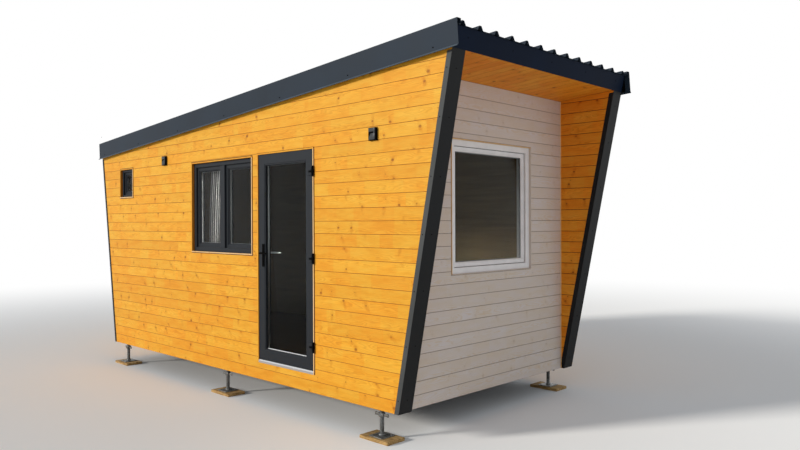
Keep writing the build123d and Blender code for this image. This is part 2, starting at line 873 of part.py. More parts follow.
casement_width = (double_clear[0] - 2 * outer_frame_width - mullion_width) / 2
casement_height = double_clear[1] - 2 * outer_frame_width
casement_shift = (casement_width + mullion_width) / 2
casement_faces = [
    Plane(origin=double_face.from_local_coords((side * casement_shift, 0, 0)),
          x_dir=double_face.x_dir, z_dir=double_face.z_dir)
    for side in (-1, 1)
]
small_sash_size = (small_clear[0] - 2 * small_frame_width, small_clear[1] - 2 * small_frame_width)
end_sash_size = (end_clear[0] - 2 * end_frame_width, end_clear[1] - 2 * end_frame_width)
sash_front = window_setback + sash_setback
end_sash_front = end_window_setback + sash_setback

door_side_sashes = [(face, casement_width, casement_height, sash_width, sash_front)
                    for face in casement_faces]
door_side_sashes.append((small_face, *small_sash_size, small_sash_width, sash_front))
together([sash(*sizes) for sizes in door_side_sashes], "door_side_sashes")
together([sash_pane(*sizes) for sizes in door_side_sashes], "door_side_panes")

keep(ring(end_face, *end_clear, end_frame_width, end_window_setback,
          end_window_setback + window_frame_depth), "end_window_frame")
keep(sash(end_face, *end_sash_size, sash_width, end_sash_front), "end_window_sash")
keep(sash_pane(end_face, *end_sash_size, sash_width, end_sash_front), "end_window_pane")


# Wall lights beside the windows and at the front corner
def wall_light(inset):
    """Box light on the boards."""
    x = front_foot_x - inset
    top = sill_height + light_top
    with BuildPart() as light:
        add(block(x - light_width / 2, x + light_width / 2, -half_width - light_depth, -half_width,
                  top - light_height, top))
        chamfer(light.faces().sort_by(Axis.Y)[0].edges(), light_bevel)
    return light.part


together([wall_light(inset) for inset in light_insets], "wall_lights")


# Curtain on its rail inside the rear casement of the double window
rail_z = sill_height + doorway_top + curtain_rail_rise
rail_y = -core_in + curtain_gap + curtain_thickness / 2
curtain_x = casement_faces[0].origin.X
curtain_top = rail_z - rail_radius
keep(block(curtain_x - curtain_width / 2, curtain_x + curtain_width / 2,
           rail_y - curtain_thickness / 2, rail_y + curtain_thickness / 2,
           curtain_top - curtain_length, curtain_top), "curtain")
with BuildPart() as curtain_rail:
    with BuildSketch(Plane.YZ.offset(double_face.origin.X - double_width / 2)):
        with Locations((rail_y, rail_z)):
            Circle(rail_radius)
    extrude(amount=double_width)
    for side in (-1, 1):
        bracket_x = double_face.origin.X + side * (double_width / 2 - bracket_inset)
        add(block(bracket_x - rail_radius, bracket_x + rail_radius, -core_in, rail_y,
                  rail_z - rail_radius, rail_z + rail_radius))
keep(curtain_rail.part, "curtain_rail")


# Screw jacks under the rails, each on a timber pad
jack_y = core_out - rail_width / 2
jack_front_x = front_foot_x - jack_front_inset
jack_rear_x = rear_foot_x + jack_rear_inset
jack_places = [(x, side * jack_y)
               for x in (jack_front_x, (jack_front_x + jack_rear_x) / 2, jack_rear_x)
               for side in (-1, 1)]
base_top = pad_thickness + base_plate_thickness
head_low = sill_height - head_plate_thickness
nut_high = head_low - nut_drop


def plates(size_x, size_y, z_low, z_high):
    """One flat rectangular plate at every jack."""
    with BuildPart() as pieces:
        with BuildSketch(Plane.XY.offset(z_low)):
            with Locations(*jack_places):
                Rectangle(size_x, size_y)
        extrude(amount=z_high - z_low)
    return pieces.part


with BuildPart() as jack_stems:
    add(plates(base_plate_size, base_plate_size, pad_thickness, base_top))
    add(plates(head_plate_size, head_plate_size, head_low, sill_height))
    with BuildSketch(Plane.XY.offset(base_top)):
        with Locations(*jack_places):
            Circle(stem_radius)
    extrude(amount=head_low - base_top)
keep(jack_stems.part, "jack_stems")

with BuildPart() as jack_nuts:
    with BuildSketch(Plane.XY.offset(nut_high - nut_height)):
        with Locations(*jack_places):
            Circle(nut_radius)
            Rectangle(2 * nut_wing_reach, nut_wing_width)
            Circle(stem_radius + nut_clearance, mode=Mode.SUBTRACT)
    extrude(amount=nut_height)
keep(jack_nuts.part, "jack_nuts")
keep(plates(pad_length, pad_width, 0, pad_thickness), "jack_pads")
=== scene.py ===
"""Tiny house on screw jacks: boards, sheet metal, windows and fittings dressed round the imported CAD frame.

Metres, in the CAD frame: X along the house towards the recessed end, -Y out of the door side, Z up.
"""
import math
import random
from functools import partial

import bmesh
import bpy
from bpy.props import FloatProperty, FloatVectorProperty, IntProperty, PointerProperty
from mathutils import Matrix, Vector


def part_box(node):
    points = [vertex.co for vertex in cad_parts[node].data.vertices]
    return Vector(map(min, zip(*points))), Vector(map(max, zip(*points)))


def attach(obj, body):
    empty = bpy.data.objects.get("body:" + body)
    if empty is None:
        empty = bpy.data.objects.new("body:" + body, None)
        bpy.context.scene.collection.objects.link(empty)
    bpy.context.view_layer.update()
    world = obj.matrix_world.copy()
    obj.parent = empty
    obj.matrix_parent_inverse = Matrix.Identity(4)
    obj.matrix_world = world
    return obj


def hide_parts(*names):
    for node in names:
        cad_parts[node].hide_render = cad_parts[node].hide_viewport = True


bl_info = {
    "name": "Tiny House",
    "version": (1, 0, 0),
    "blender": (4, 5, 0),
    "location": "3D View > Sidebar > Tiny House",
    "description": "Dresses the tiny house's CAD frame with boards, metalwork and fittings",
    "category": "Object",
}

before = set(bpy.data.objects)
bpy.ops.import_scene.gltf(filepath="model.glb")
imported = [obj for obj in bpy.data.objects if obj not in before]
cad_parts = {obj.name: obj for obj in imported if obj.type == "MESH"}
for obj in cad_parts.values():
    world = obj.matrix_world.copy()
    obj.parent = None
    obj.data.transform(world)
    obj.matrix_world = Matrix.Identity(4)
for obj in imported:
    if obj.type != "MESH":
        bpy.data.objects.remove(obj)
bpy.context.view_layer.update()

# Places taken from the frame
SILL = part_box("door_side_boards")[0].z
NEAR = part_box("door_side_boards")[0].y
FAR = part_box("far_side_boards")[1].y
MIDDLE = (NEAR + FAR) / 2
END_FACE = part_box("front_end_boards")[1].x
FLOOR_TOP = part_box("floor_deck")[1].z

# Sizes of the CAD model that its boxes do not give
BOARD = 0.019
CORE = 0.110
LENGTH = 5.060
FRONT_FOOT = END_FACE - 0.010
REAR_FOOT = FRONT_FOOT - LENGTH
FRONT_TAN = math.tan(math.radians(11.4))
REAR_LEAN = math.radians(8.6)
REAR_TAN = math.tan(REAR_LEAN)
SLOPE = math.radians(4.05)
SLOPE_TAN = math.tan(SLOPE)
EAVES_RISE = 2.750
SOFFIT_LIFT = 0.022
DECK_LIFT = SOFFIT_LIFT + BOARD
ROOF_LIFT = DECK_LIFT + 0.131
RIB_HEIGHT = 0.035
RIB_PITCH = 0.207
RIB_COUNT = 13
TRIM_PROUD = 0.048
WING_PROUD = TRIM_PROUD - 0.002
SHEET = 0.002
VERGE_OUT = 0.033
LINING = 0.018
END_LINING = 0.008
PLANK = 0.012
LINING_PROUD = 0.006
HEAD = 2.189
DOORWAY = (FRONT_FOOT - 1.012 - 0.843, FRONT_FOOT - 1.012, FLOOR_TOP, SILL + HEAD)
DOOR_LINING = 0.019
DOOR_HEAD_LINING = 0.012
DOOR_HEAD_JOINT = 0.009
DOOR_PLANK = 0.013
SMALL_WIDTH = 0.370
SMALL_INSET = LENGTH - 0.161 - SMALL_WIDTH
SMALL_TOP = EAVES_RISE - (SMALL_INSET + SMALL_WIDTH / 2) * SLOPE_TAN - 0.202
LIGHT_INSETS = (0.222, SMALL_INSET - 0.814)
LIGHT_TOP = SILL + EAVES_RISE - max(LIGHT_INSETS) * SLOPE_TAN - 0.190

# Depths of the sealing tapes in the joints round the linings, the double glazing and the cloth in a pleat
TAPE_FRONT = -0.005
TAPE_BACK = -0.015
GLAZING = 0.024
CLOTH_REPEAT = 0.080


def opening(right, width, top, height):
    """Left, right, low and high of an opening whose top is given above the boards' foot."""
    return right - width, right, SILL + top - height, SILL + top


WINDOWS = {
    "double": opening(FRONT_FOOT - 1.953, 1.175, HEAD, 0.989),
    "small": opening(FRONT_FOOT - SMALL_INSET, SMALL_WIDTH, SMALL_TOP, 0.378),
    "end": opening(MIDDLE + 0.609, 1.218, 2.256, 1.194),
}


def slope_line(x, lift=0.0):
    """Height of the roof's slope above the ground at x."""
    return SILL + EAVES_RISE + lift + (x - FRONT_FOOT) * SLOPE_TAN


def front_head(lift, proud=0.0):
    """X and Z where the leaning front edge meets the roof's slope."""
    x = FRONT_FOOT + (FRONT_TAN * (EAVES_RISE + lift) + proud) / (1 - FRONT_TAN * SLOPE_TAN)
    return x, slope_line(x, lift)


def rear_head(lift, inwards=0.0):
    """X and Z where the leaning rear edge meets the roof's slope."""
    x = FRONT_FOOT + (inwards - LENGTH - REAR_TAN * (EAVES_RISE + lift)) / (1 + REAR_TAN * SLOPE_TAN)
    return x, slope_line(x, lift)


def wall(origin, along, up=(0, 0, 1)):
    """Matrix from a wall's own frame, with x along it, y up it and z out of it, to the house's."""
    along, up = Vector(along), Vector(up)
    matrix = Matrix((along, up, along.cross(up))).transposed().to_4x4()
    matrix.translation = Vector(origin)
    return matrix


def mirrored(outline):
    """Outline for the far side, whose wall frame runs the other way."""
    return [(-x, z) for x, z in outline][::-1]


DOOR_SIDE = wall((0, NEAR, 0), (1, 0, 0))
END_WALL = wall((END_FACE, 0, 0), (0, 1, 0))


# Settings that a user would change
def linear(code):
    """Linear RGBA of an sRGB hex value."""
    channels = [int(code[i:i + 2], 16) / 255 for i in (0, 2, 4)]
    return [c / 12.92 if c <= 0.04045 else ((c + 0.055) / 1.055) ** 2.4 for c in channels] + [1.0]


def colour(name, description, code):
    """Colour property with an sRGB hex default."""
    return FloatVectorProperty(name=name, description=description, default=linear(code)[:3],
                               subtype="COLOR", size=3, min=0, max=1)


def length(name, description, default, low, high):
    """Length property in metres."""
    return FloatProperty(name=name, description=description, default=default, min=low, max=high,
                         unit="LENGTH")


def number(name, description, default, low, high):
    """Whole number property."""
    return IntProperty(name=name, description=description, default=default, min=low, max=high)


class HouseBoards(bpy.types.PropertyGroup):
    cover: length("Cover width", "Height of one course of boards", 0.110, 0.05, 0.3)
    first: length("First joint", "Height of the lowest joint above the boards' foot", 0.107, 0.01, 0.3)
    groove: length("Groove", "Chamfer on each board's edge", 0.0025, 0.001, 0.008)
    gap: length("Gap", "Open joint between two courses", 0.0008, 0.0002, 0.006)
    stain: colour("Stain", "Honey stain on the spruce", "F1AD2F")
    # The porch colour is the honey stain with painted bounce light: the deeper orange cast that the shaded
    # porch takes from the sunlit boards
    porch: colour("Porch stain", "Deeper stain on the sheltered boards of the porch", "F29A28")
    knot: colour("Knots", "Knots in the honey boards", "7A3B08")
    # The joint colour stands for the stain in the joints and for painted shade in the grooves and on the
    # linings' sides
    joint: colour("Joints", "Stain gathered in the joints of the honey boards", "AE671A")
    # The paler lining stain is also the lit copy of the honey stain: it paints the sunlight on the door
    # side's right lining planks and feet
    lining: colour("Linings", "Paler stain on the linings of the openings", "F0CB96")
    white: colour("Whitewash", "Whitewash on the end wall", "D9CDC4")
    seed: number("Seed", "Order of the board lengths and of the figure", 7, 0, 9999)


class HouseMetal(bpy.types.PropertyGroup):
    sheet: colour("Coated sheet", "Anthracite coating of roof and flashings", "232D38")
    # The fascias' colour is the sheet's anthracite with painted shade, and little gloss, for faces that turn
    # from the light
    fascia: colour("Fascia", "Darker coating of the fascias", "111B2C")
    # The corner trims' colour is the sheet's anthracite with painted shade
    trims: colour("Corner trims", "Coating of the corner trims", "1E1F20")
    frames: colour("Frames", "Anthracite foil of door and windows", "25292E")
    hardware: colour("Hardware", "Black powder coat of hinges, handle and lights", "050505")
    screw_pitch: length("Screw pitch", "Distance between the screws of a flashing", 1.0, 0.2, 2.0)


class HouseCurtain(bpy.types.PropertyGroup):
    pleats: number("Pleats", "Pleats across the gathered curtain", 10, 4, 30)
    cloth: colour("Cloth", "Ground colour of the curtain", "F2EEEE")
    stripe: colour("Stripe", "Stripes of the curtain", "5F595B")


def settings():
    """The three groups of settings."""
    scene = bpy.context.scene
    return scene.house_boards, scene.house_metal, scene.house_curtain


# Materials
def add_node(tree, kind, inputs=(), operation=None, stops=(), **attributes):
    """Node with its attributes, the stops of its colour ramp from dark to light, and its inputs set to values
    or linked to other nodes, by their first output or by a given one."""
    node = tree.nodes.new("ShaderNode" + kind)
    if operation:
        node.operation = operation
    for name, value in attributes.items():
        setattr(node, name, value)
    for index, (position, shade) in enumerate(stops):
        elements = node.color_ramp.elements
        element = elements[index] if index < len(elements) else elements.new(position)
        element.position = position
        element.color = [*shade[:3], 1.0]
    for name, value in inputs.items() if isinstance(inputs, dict) else enumerate(inputs):
        if isinstance(value, bpy.types.Node):
            value = value.outputs[0]
        if isinstance(value, bpy.types.NodeSocket):
            tree.links.new(value, node.inputs[name])
        else:
            node.inputs[name].default_value = value
    return node


def make_material(name, pattern, *values):
    """Node material whose surface a pattern makes of some values: the inputs of a principled shader, or a
    shader of another kind."""
    material = bpy.data.materials.new(name)
    material.use_nodes = True
    material.node_tree.nodes.clear()
    add = partial(add_node, material.node_tree)
    surface = pattern(add, *values)
    if isinstance(surface, dict):
        surface = add("BsdfPrincipled", surface)
    add("OutputMaterial", {"Surface": surface})
    return material


def shaded(base, factor):
    """Colour multiplied by a factor."""
    return [min(1.0, c * factor) for c in base[:3]] + [1.0]


def stained_boards(add, base, knot, joint, contrast, knot_strength, tones, roughness):
    """Planed spruce under a stain: arches of late wood that bend round small knots, boards that differ a
    little in tone, and darker chamfers and joint sides: stain run into the joints, with painted shade in the
    grooves."""
    uv = add("TexCoord").outputs["UV"]
    tone = add("Attribute", attribute_name="tone").outputs["Fac"]
    along, across, _ = add("SeparateXYZ", [uv]).outputs
    # A place of its own in the noises for each board
    board = add("Math", [tone, 900.0], "MULTIPLY")

    def streaks(per_metre_along, per_metre_across, detail):
        """Noise drawn out along the grain, different on each board."""
        place = add("CombineXYZ", [add("Math", [along, per_metre_along], "MULTIPLY"),
                                   add("Math", [across, per_metre_across], "MULTIPLY"), board])
        return add("TexNoise", {"Vector": place, "Scale": 1.0, "Detail": detail})

    # Knots 8 to 28 mm across, at most one in a cell of 320 by 110 mm, more where the crown of the tree was;
    # counting the cell's length as 230 mm draws them out along the grain
    cell_length, knot_length, cell_height = 0.32, 0.23, 0.11
    cells = add("CombineXYZ", [add("Math", [along, cell_length], "DIVIDE"),
                               add("Math", [across, 1 / cell_height, board], "MULTIPLY_ADD")])
    cell = add("TexVoronoi", {"Vector": cells, "Scale": 1.0, "Randomness": 0.9}, voronoi_dimensions="2D")
    lot, girth, lean = add("SeparateColor", [cell.outputs["Color"]]).outputs
    off = add("VectorMath", [cells, cell.outputs["Position"]], "SUBTRACT")
    ragged = add("TexNoise", {"Vector": uv, "Scale": 75.0, "Detail": 2.0})
    ragged = add("MapRange", {"Value": ragged, "To Min": 0.6, "To Max": 1.4})
    far = add("VectorMath", [off, (knot_length, cell_height, 0)], "MULTIPLY")
    far = add("VectorMath", [far], "LENGTH").outputs["Value"]
    far = add("Math", [far, ragged], "MULTIPLY")
    crown = add("CombineXYZ", [add("Math", [along, 0.9], "MULTIPLY"), board])
    crown = add("TexNoise", {"Vector": crown, "Scale": 1.0, "Detail": 0.0})
    crown = add("MapRange", {
        "Value": crown, "From Min": 0.3, "From Max": 0.7, "To Min": 0.75, "To Max": 0.05})
    chosen = add("Math", [lot, crown], "GREATER_THAN")
    size = add("Math", [girth, 1.6], "POWER")
    size = add("MapRange", {"Value": size, "To Min": 0.004, "To Max": 0.014})
    core = add("Math", [far, size], "DIVIDE")
    core = add("MapRange", {"Value": core, "From Min": 1.15, "From Max": 0.55})
    core = add("Math", [core, chosen], "MULTIPLY")
    deep = add("MapRange", {"Value": lean, "To Min": 0.5 * knot_strength, "To Max": knot_strength})
    core = add("Math", [core, deep], "MULTIPLY")
    # A flame of darker resin wood, some 40 by 90 mm, lies aslant across the board at each knot
    waver = add("TexNoise", {"Vector": uv, "Scale": 28.0, "Detail": 3.0}).outputs["Color"]
    waver = add("VectorMath", [waver, (0.07, 0.07, 0), (-0.035, -0.03, 0)], "MULTIPLY_ADD")
    slant = add("MapRange", {"Value": lean, "To Min": -1.0, "To Max": 0.6})
    trail = add("VectorMath", [off, (cell_length, cell_height, 0)], "MULTIPLY")
    trail = add("VectorRotate", {"Vector": trail, "Angle": slant}, rotation_type="Z_AXIS")
    trail = add("VectorMath", [trail, (1.5, 0.6, 0), waver], "MULTIPLY_ADD")
    trail = add("VectorMath", [trail], "LENGTH").outputs["Value"]
    trail = add("Math", [trail, ragged], "MULTIPLY")
    trail = add("MapRange", {"Value": trail, "From Min": 0.046, "From Max": 0.004},
                interpolation_type="SMOOTHSTEP")
    trail = add("Math", [trail, chosen], "MULTIPLY")
    strong = add("MapRange", {"Value": girth, "To Min": 0.2})
    trail = add("Math", [trail, strong], "MULTIPLY")
    # Year rings 6 mm apart, cut lengthways and pushed aside by the knots: their depth under the pith drifts
    ring = 0.006
    swirl = add("MapRange", {"Value": far, "From Min": 0.045, "From Max": 0.0, "To Max": 0.022},
                interpolation_type="SMOOTHERSTEP")
    swirl = add("Math", [swirl, chosen], "MULTIPLY")
    depth = add("MapRange", {"Value": streaks(1.6, 7.0, 3.0), "To Min": 0.005, "To Max": 0.095})
    aside = add("Math", [tone, 0.13, -0.065], "MULTIPLY_ADD")
    aside = add("Math", [across, aside], "SUBTRACT")
    year = add("VectorMath", [add("CombineXYZ", [aside, depth])], "LENGTH").outputs["Value"]
    year = add("Math", [year, swirl], "ADD")
    year = add("Math", [year, ring], "DIVIDE")
    year = add("Math", [year], "FRACT")
    late = shaded([c * t for c, t in zip(base, (1, 0.92, 0.78))], 1 - contrast * 0.5)
    wood = add("ValToRGB", [year], stops=[
        (0.0, shaded(base, 1 + contrast * 0.2)), (0.5, base), (0.85, late), (1.0, base)])
    # Fibres 3 mm apart and some 80 mm long, and clouds of stain of 45 by 200 mm
    fibres = streaks(12.0, 330.0, 2.0)
    faint = add("ValToRGB", [fibres], stops=[(0.3, [1 - contrast * 0.5] * 3), (0.6, (1, 1, 1))])
    patchy = add("ValToRGB", [streaks(5.0, 22.0, 2.0)], stops=[
        (0.34, (1 - contrast * 0.2, 1 - contrast * 0.55, 1 - contrast * 1.6)), (0.52, (1, 1, 1)),
        (0.66, (1, 1 + contrast * 0.25, 1 + contrast * 1.2))])
    # Stretches of 100 to 400 mm that took up more or less of the stain
    stretch = add("Math", [along, 4.2, board], "MULTIPLY_ADD")
    stretch = add("TexVoronoi", {"W": stretch, "Scale": 1.0, "Smoothness": 0.12},
                  voronoi_dimensions="1D", feature="SMOOTH_F1")
    stretch = add("ValToRGB", [add("SeparateColor", [stretch.outputs["Color"]])], stops=[
        (0.1, (1, 1 - contrast * 0.3, 1 - contrast * 0.8)), (0.5, (1, 1, 1)),
        (0.9, (1, 1 + contrast * 0.35, 1 + contrast * 1.1))])
    toned = add("ValToRGB", [tone], stops=[(0.0, tones[0]), (1.0, tones[1])])
    for layer in (faint, patchy, stretch, toned):
        wood = add("Mix", {0: 1.0, 6: wood, 7: layer}, data_type="RGBA", blend_type="MULTIPLY").outputs[2]
    flame = (1 - contrast * 0.9, 1 - contrast * 1.6, 1 - contrast * 2.8, 1)
    flame = add("Mix", {0: 1.0, 6: wood, 7: flame}, data_type="RGBA", blend_type="MULTIPLY").outputs[2]
    # The joint colour by the edge share: stain in the joints, with painted shade in the grooves and on lining
    # sides
    edge = add("Attribute", attribute_name="edge").outputs["Fac"]
    for share, layer in ((trail, flame), (core, knot), (edge, joint)):
        wood = add("Mix", {0: share, 6: wood, 7: layer}, data_type="RGBA").outputs[2]
    bump = add("Bump", {"Height": fibres, "Distance": 0.0005, "Strength": 0.5})
    return {"Base Color": wood, "Roughness": roughness, "Specular IOR Level": 0.2, "Normal": bump}


def wavering(add, shades, scale, detail, bump, ends=(0.3, 0.7), skin=None, rough=None, **noise):
    """Inputs of a shader whose colour wavers between two shades with a noise, which also gives its relief
    of some distance and strength, unless a finer skin does, and its range of roughness where it has one."""
    place = add("TexCoord").outputs["Object"]
    if isinstance(scale, tuple):
        place, scale = add("Mapping", {"Vector": place, "Scale": scale}), 1.0
    waves = add("TexNoise", {"Vector": place, "Scale": scale, "Detail": detail, **noise})
    inputs = {"Base Color": add("ValToRGB", [waves], stops=list(zip(ends, shades)))}
    if rough:
        inputs["Roughness"] = add("MapRange", {"Value": waves, "To Min": rough[0], "To Max": rough[1]})
    if skin:
        waves = add("TexNoise", {"Vector": place, "Scale": skin[0], "Detail": skin[1]})
    if bump:
        inputs["Normal"] = add("Bump", {"Height": waves, "Distance": bump[0], "Strength": bump[1]})
    return inputs


def sheet_metal(add, base, gloss=0.12):
    """Polyester-coated steel: a matt, slightly leathery skin with faint clouding from rain and handling."""
    # The real coating's grain is 0.2 mm; 3 mm shows in the render
    return {"Specular IOR Level": gloss, **wavering(
        add, (shaded(base, 0.86), shaded(base, 1.16)), 2.4, 3.0, (0.0002, 0.35), skin=(330.0, 2.0),
        rough=(0.44, 0.6))}


def profile_plastic(add, base, roughness, gloss):
    """Extruded window plastic: even, faintly grained, with a soft sheen along its edges."""
    # The foil's embossing is 0.3 mm; 2.5 mm shows close up
    return {"Roughness": roughness, "Specular IOR Level": gloss, **wavering(
        add, (shaded(base, 0.94), shaded(base, 1.04)), 9.0, 2.0, (0.00012, 0.4), skin=(420.0, 3.0))}


def powder_coat(add, base, roughness, gloss):
    """Powder-coated metal: a fine orange-peel skin, 1.4 mm from crest to crest, breaks the highlights."""
    return {"Roughness": roughness, "Specular IOR Level": gloss, **wavering(
        add, (shaded(base, 0.85), shaded(base, 1.25)), 700.0, 2.0, (0.0002, 0.5))}


def anodised(add, base):
    """Anodised aluminium section: pale grey with fine drawing lines along X."""
    return {"Roughness": 0.36, "Metallic": 1.0, **wavering(
        add, (shaded(base, 0.86), base), (1, 900, 900), 2.0, (0.0001, 0.3))}


def chassis_enamel(add):
    """Black chassis enamel on rolled steel: uneven, with road dust in patches a hand wide."""
    return {"Roughness": 0.6, **wavering(
        add, (linear("17181A"), linear("3A3632")), 7.0, 5.0, (0.001, 0.4), (0.35, 0.75))}


def plain_panel(add, base):
    """Plain spruce panel of the structure: broad pale grain of 40 mm by half a metre, unfinished and matt."""
    return {"Roughness": 0.72, **wavering(
        add, (shaded(base, 0.80), shaded(base, 1.08)), (1.5, 26, 26), 4.0, (0.0008, 0.5), (0.32, 0.68),
        Distortion=0.7)}


def sealing_rubber(add):
    """Black sealing rubber: matt, with a dusty grey bloom."""
    return {"Roughness": 0.75, **wavering(
        add, (linear("0E0E0F"), linear("1E1E1F")), 40.0, 2.0, None, (0.35, 0.75))}


def galvanised(add):
    """Hot-dip galvanised steel: dull grey spangle with white bloom and a little ground-in dirt."""
    place = add("TexCoord").outputs["Object"]
    # Spangle of about 8 mm
    spangle = add("TexVoronoi", {"Vector": place, "Scale": 120.0}).outputs["Color"]
    bloom = add("TexNoise", {"Vector": place, "Scale": 22.0, "Detail": 4.0})
    spots = add("ValToRGB", [spangle], stops=[(0.0, linear("6A6C6D")), (1.0, linear("9A9C9C"))])
    dirt = add("ValToRGB", [bloom], stops=[(0.42, (1, 1, 1)), (0.68, (0.55, 0.50, 0.44))])
    both = add("Mix", {0: 1.0, 6: spots, 7: dirt}, data_type="RGBA", blend_type="MULTIPLY").outputs[2]
    rough = add("MapRange", {"Value": bloom, "To Min": 0.38, "To Max": 0.7})
    return {"Base Color": both, "Roughness": rough, "Metallic": 0.85}


def sawn_timber(add):
    """Rough-sawn softwood left outdoors: yellow-brown, furry, saw marks 16 mm apart, dirt in patches."""
    place = add("TexCoord").outputs["Object"]
    along = add("Mapping", {"Vector": place, "Scale": (4, 55, 55)})
    grain = add("TexNoise", {"Vector": along, "Scale": 1.0, "Detail": 5.0, "Distortion": 1.2})
    saw = add("TexWave", {"Vector": place, "Scale": 20.0, "Distortion": 3.0, "Detail": 2.0},
              bands_direction="X").outputs["Fac"]
    tone = add("ValToRGB", [grain], stops=[
        (0.3, linear("8A6A3C")), (0.5, linear("B8935A")), (0.72, linear("D2B078"))])
    patches = add("TexNoise", {"Vector": place, "Scale": 14.0, "Detail": 3.0})
    dirt = add("ValToRGB", [patches], stops=[(0.42, (1, 1, 1)), (0.70, (0.62, 0.56, 0.47))])
    both = add("Mix", {0: 1.0, 6: tone, 7: dirt}, data_type="RGBA", blend_type="MULTIPLY").outputs[2]
    height = add("Math", [grain, saw], "ADD")
    bump = add("Bump", {"Height": height, "Distance": 0.0012, "Strength": 0.6})
    return {"Base Color": both, "Roughness": 0.9, "Normal": bump}


def float_glass(add):
    """Float glass with an anti-glare coating: clear, grey-green, dark against an unlit room. Lamps shine
    through it without bending, so the room behind is lit."""
    tint = linear("EAECEB")
    glass = add("BsdfPrincipled", {
        "Base Color": tint, "Transmission Weight": 1.0, "Roughness": 0.0, "IOR": 1.1})
    shadow = add("LightPath").outputs["Is Shadow Ray"]
    return add("MixShader", [shadow, glass, add("BsdfTransparent", [tint])])


def striped_cloth(add, ground, stripe):
    """Half-linen curtain cloth: soft and matt, with a woven stripe 15 mm wide in each pleat's 80 mm."""
    uv = add("TexCoord").outputs["UV"]
    share = add("Math", [add("SeparateXYZ", [uv]), CLOTH_REPEAT], "DIVIDE")
    share = add("Math", [share], "FRACT")
    band = add("Math", [share, 0.88, 0.09], "COMPARE")
    # The thread is 0.5 mm; 2.5 mm shows in the render
    threads = add("Mapping", {"Vector": uv, "Scale": (400, 400, 1)})
    weave = add("TexChecker", {"Vector": threads, "Scale": 1.0, "Color1": (1, 1, 1, 1),
                               "Color2": (0.86, 0.86, 0.86, 1)})
    cloth = add("Mix", {0: band, 6: ground, 7: stripe}, data_type="RGBA").outputs[2]
    cloth = add("Mix", {0: 1.0, 6: cloth, 7: weave}, data_type="RGBA", blend_type="MULTIPLY").outputs[2]
    bump = add("Bump", {"Height": weave.outputs["Fac"], "Distance": 0.0004, "Strength": 0.5})
    return {"Base Color": cloth, "Roughness": 0.9, "Sheen Weight": 0.25, "Normal": bump}


FINISH = {}


def make_finishes():
    """Every material of the house and the slot of its colour, by the name of its finish."""
    boards, metal, curtain = settings()
    even = (1, 1, 1)
    knot = [*boards.knot, 1]
    # Boards take their stain, knots, joints, contrast, strength of the knots, range of tones and roughness;
    # plastic and powder coat take their colour, roughness and gloss
    for finish, slot, name, pattern, *values in (
            ("honey", "spruce_boards", "honey_stained_spruce", stained_boards, [*boards.stain], knot,
             [*boards.joint, 1], 0.2, 0.75, ((0.92, 0.89, 0.82), even), 0.55),
            ("pale", "spruce_boards", "pale_stained_spruce", stained_boards, [*boards.lining], knot,
             linear("7C3E0C"), 0.12, 0.4, ((0.96, 0.94, 0.9), even), 0.55),
            # Porch boards: the honey stain with painted bounce light in the shade
            ("porch", "spruce_boards", "sheltered_spruce", stained_boards, [*boards.porch], linear("6E3208"),
             linear("8E4A12"), 0.24, 0.9, ((0.93, 0.9, 0.84), even), 0.55),
            ("white", "white_boards", "whitewashed_spruce", stained_boards, [*boards.white], linear("A8917E"),
             linear("AA998C"), 0.038, 0.3, ((0.965, 0.955, 0.94), even), 0.6),
            ("sheet", "anthracite_sheet", "coated_steel_sheet", sheet_metal, [*metal.sheet]),
            ("fascia", "anthracite_sheet", "coated_steel_fascia", sheet_metal, [*metal.fascia], 0.04),
            ("hem", "anthracite_sheet", "worn_steel_hem", sheet_metal, linear("465059")),
            ("faded", "anthracite_sheet", "faded_steel_trim", sheet_metal, linear("494B4B")),
            ("trim", "anthracite_sheet", "coated_steel_trim", sheet_metal, [*metal.trims]),
            ("foil", "anthracite_frame", "anthracite_window_foil", profile_plastic, [*metal.frames], 0.5,
             0.12),
            ("plastic", "white_frame", "white_window_plastic", profile_plastic, linear("ECE8E6"), 0.3, 0.5),
            ("black", "black_hardware", "black_powder_coat", powder_coat, [*metal.hardware], 0.55, 0.02),
            ("graphite", "black_hardware", "graphite_powder_coat", powder_coat, linear("3E4143"), 0.35, 0.12),
            ("silver", "plain_aluminium", "silver_powder_coat", powder_coat, linear("F1F3F3"), 0.3, 0.5),
            ("zinc", "jack_steel", "galvanised_steel", galvanised),
            ("aluminium", "plain_aluminium", "anodised_aluminium", anodised, linear("C9CBCD")),
            ("chassis", "chassis_steel", "black_chassis_enamel", chassis_enamel),
            ("panel", "timber_panel", "spruce_panel", plain_panel, linear("9A7F56")),
            # The floor deck is darkened: painted shade for the dim room behind the glass
            ("floor", None, "oiled_floor_panel", plain_panel, linear("4A3928")),
            ("sawn", "pad_timber", "rough_sawn_timber", sawn_timber),
            ("glass", "glazing", "coated_float_glass", float_glass),
            ("rubber", None, "sealing_rubber", sealing_rubber),
            ("cloth", "curtain_cloth", "striped_curtain_cloth", striped_cloth, [*curtain.cloth, 1],
             [*curtain.stripe, 1])):
        FINISH[finish] = make_material(name, pattern, *values), slot


# Making pieces
def mesh_of(bm, name):
    """Mesh from a bmesh, which is freed."""
    mesh = bpy.data.meshes.new(name)
    bm.to_mesh(mesh)
    bm.free()
    return mesh


def linked(name, data):
    """Object of some data in the scene."""
    obj = bpy.data.objects.new(name, data)
    bpy.context.scene.collection.objects.link(obj)
    return obj


def finish_piece(bm, name, finish, body="house", replaces=None, smooth=None):
    """Turn a bmesh into a piece of the house that rides on a body."""
    obj = linked(name, mesh_of(bm, name))
    material, slot = FINISH[finish]
    obj.data.materials.append(material)
    if smooth is not None:
        obj.data.shade_smooth()
        obj.data.set_sharp_from_angle(angle=math.radians(smooth))
    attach(obj, body)
    if replaces:
        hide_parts(replaces)
    return obj


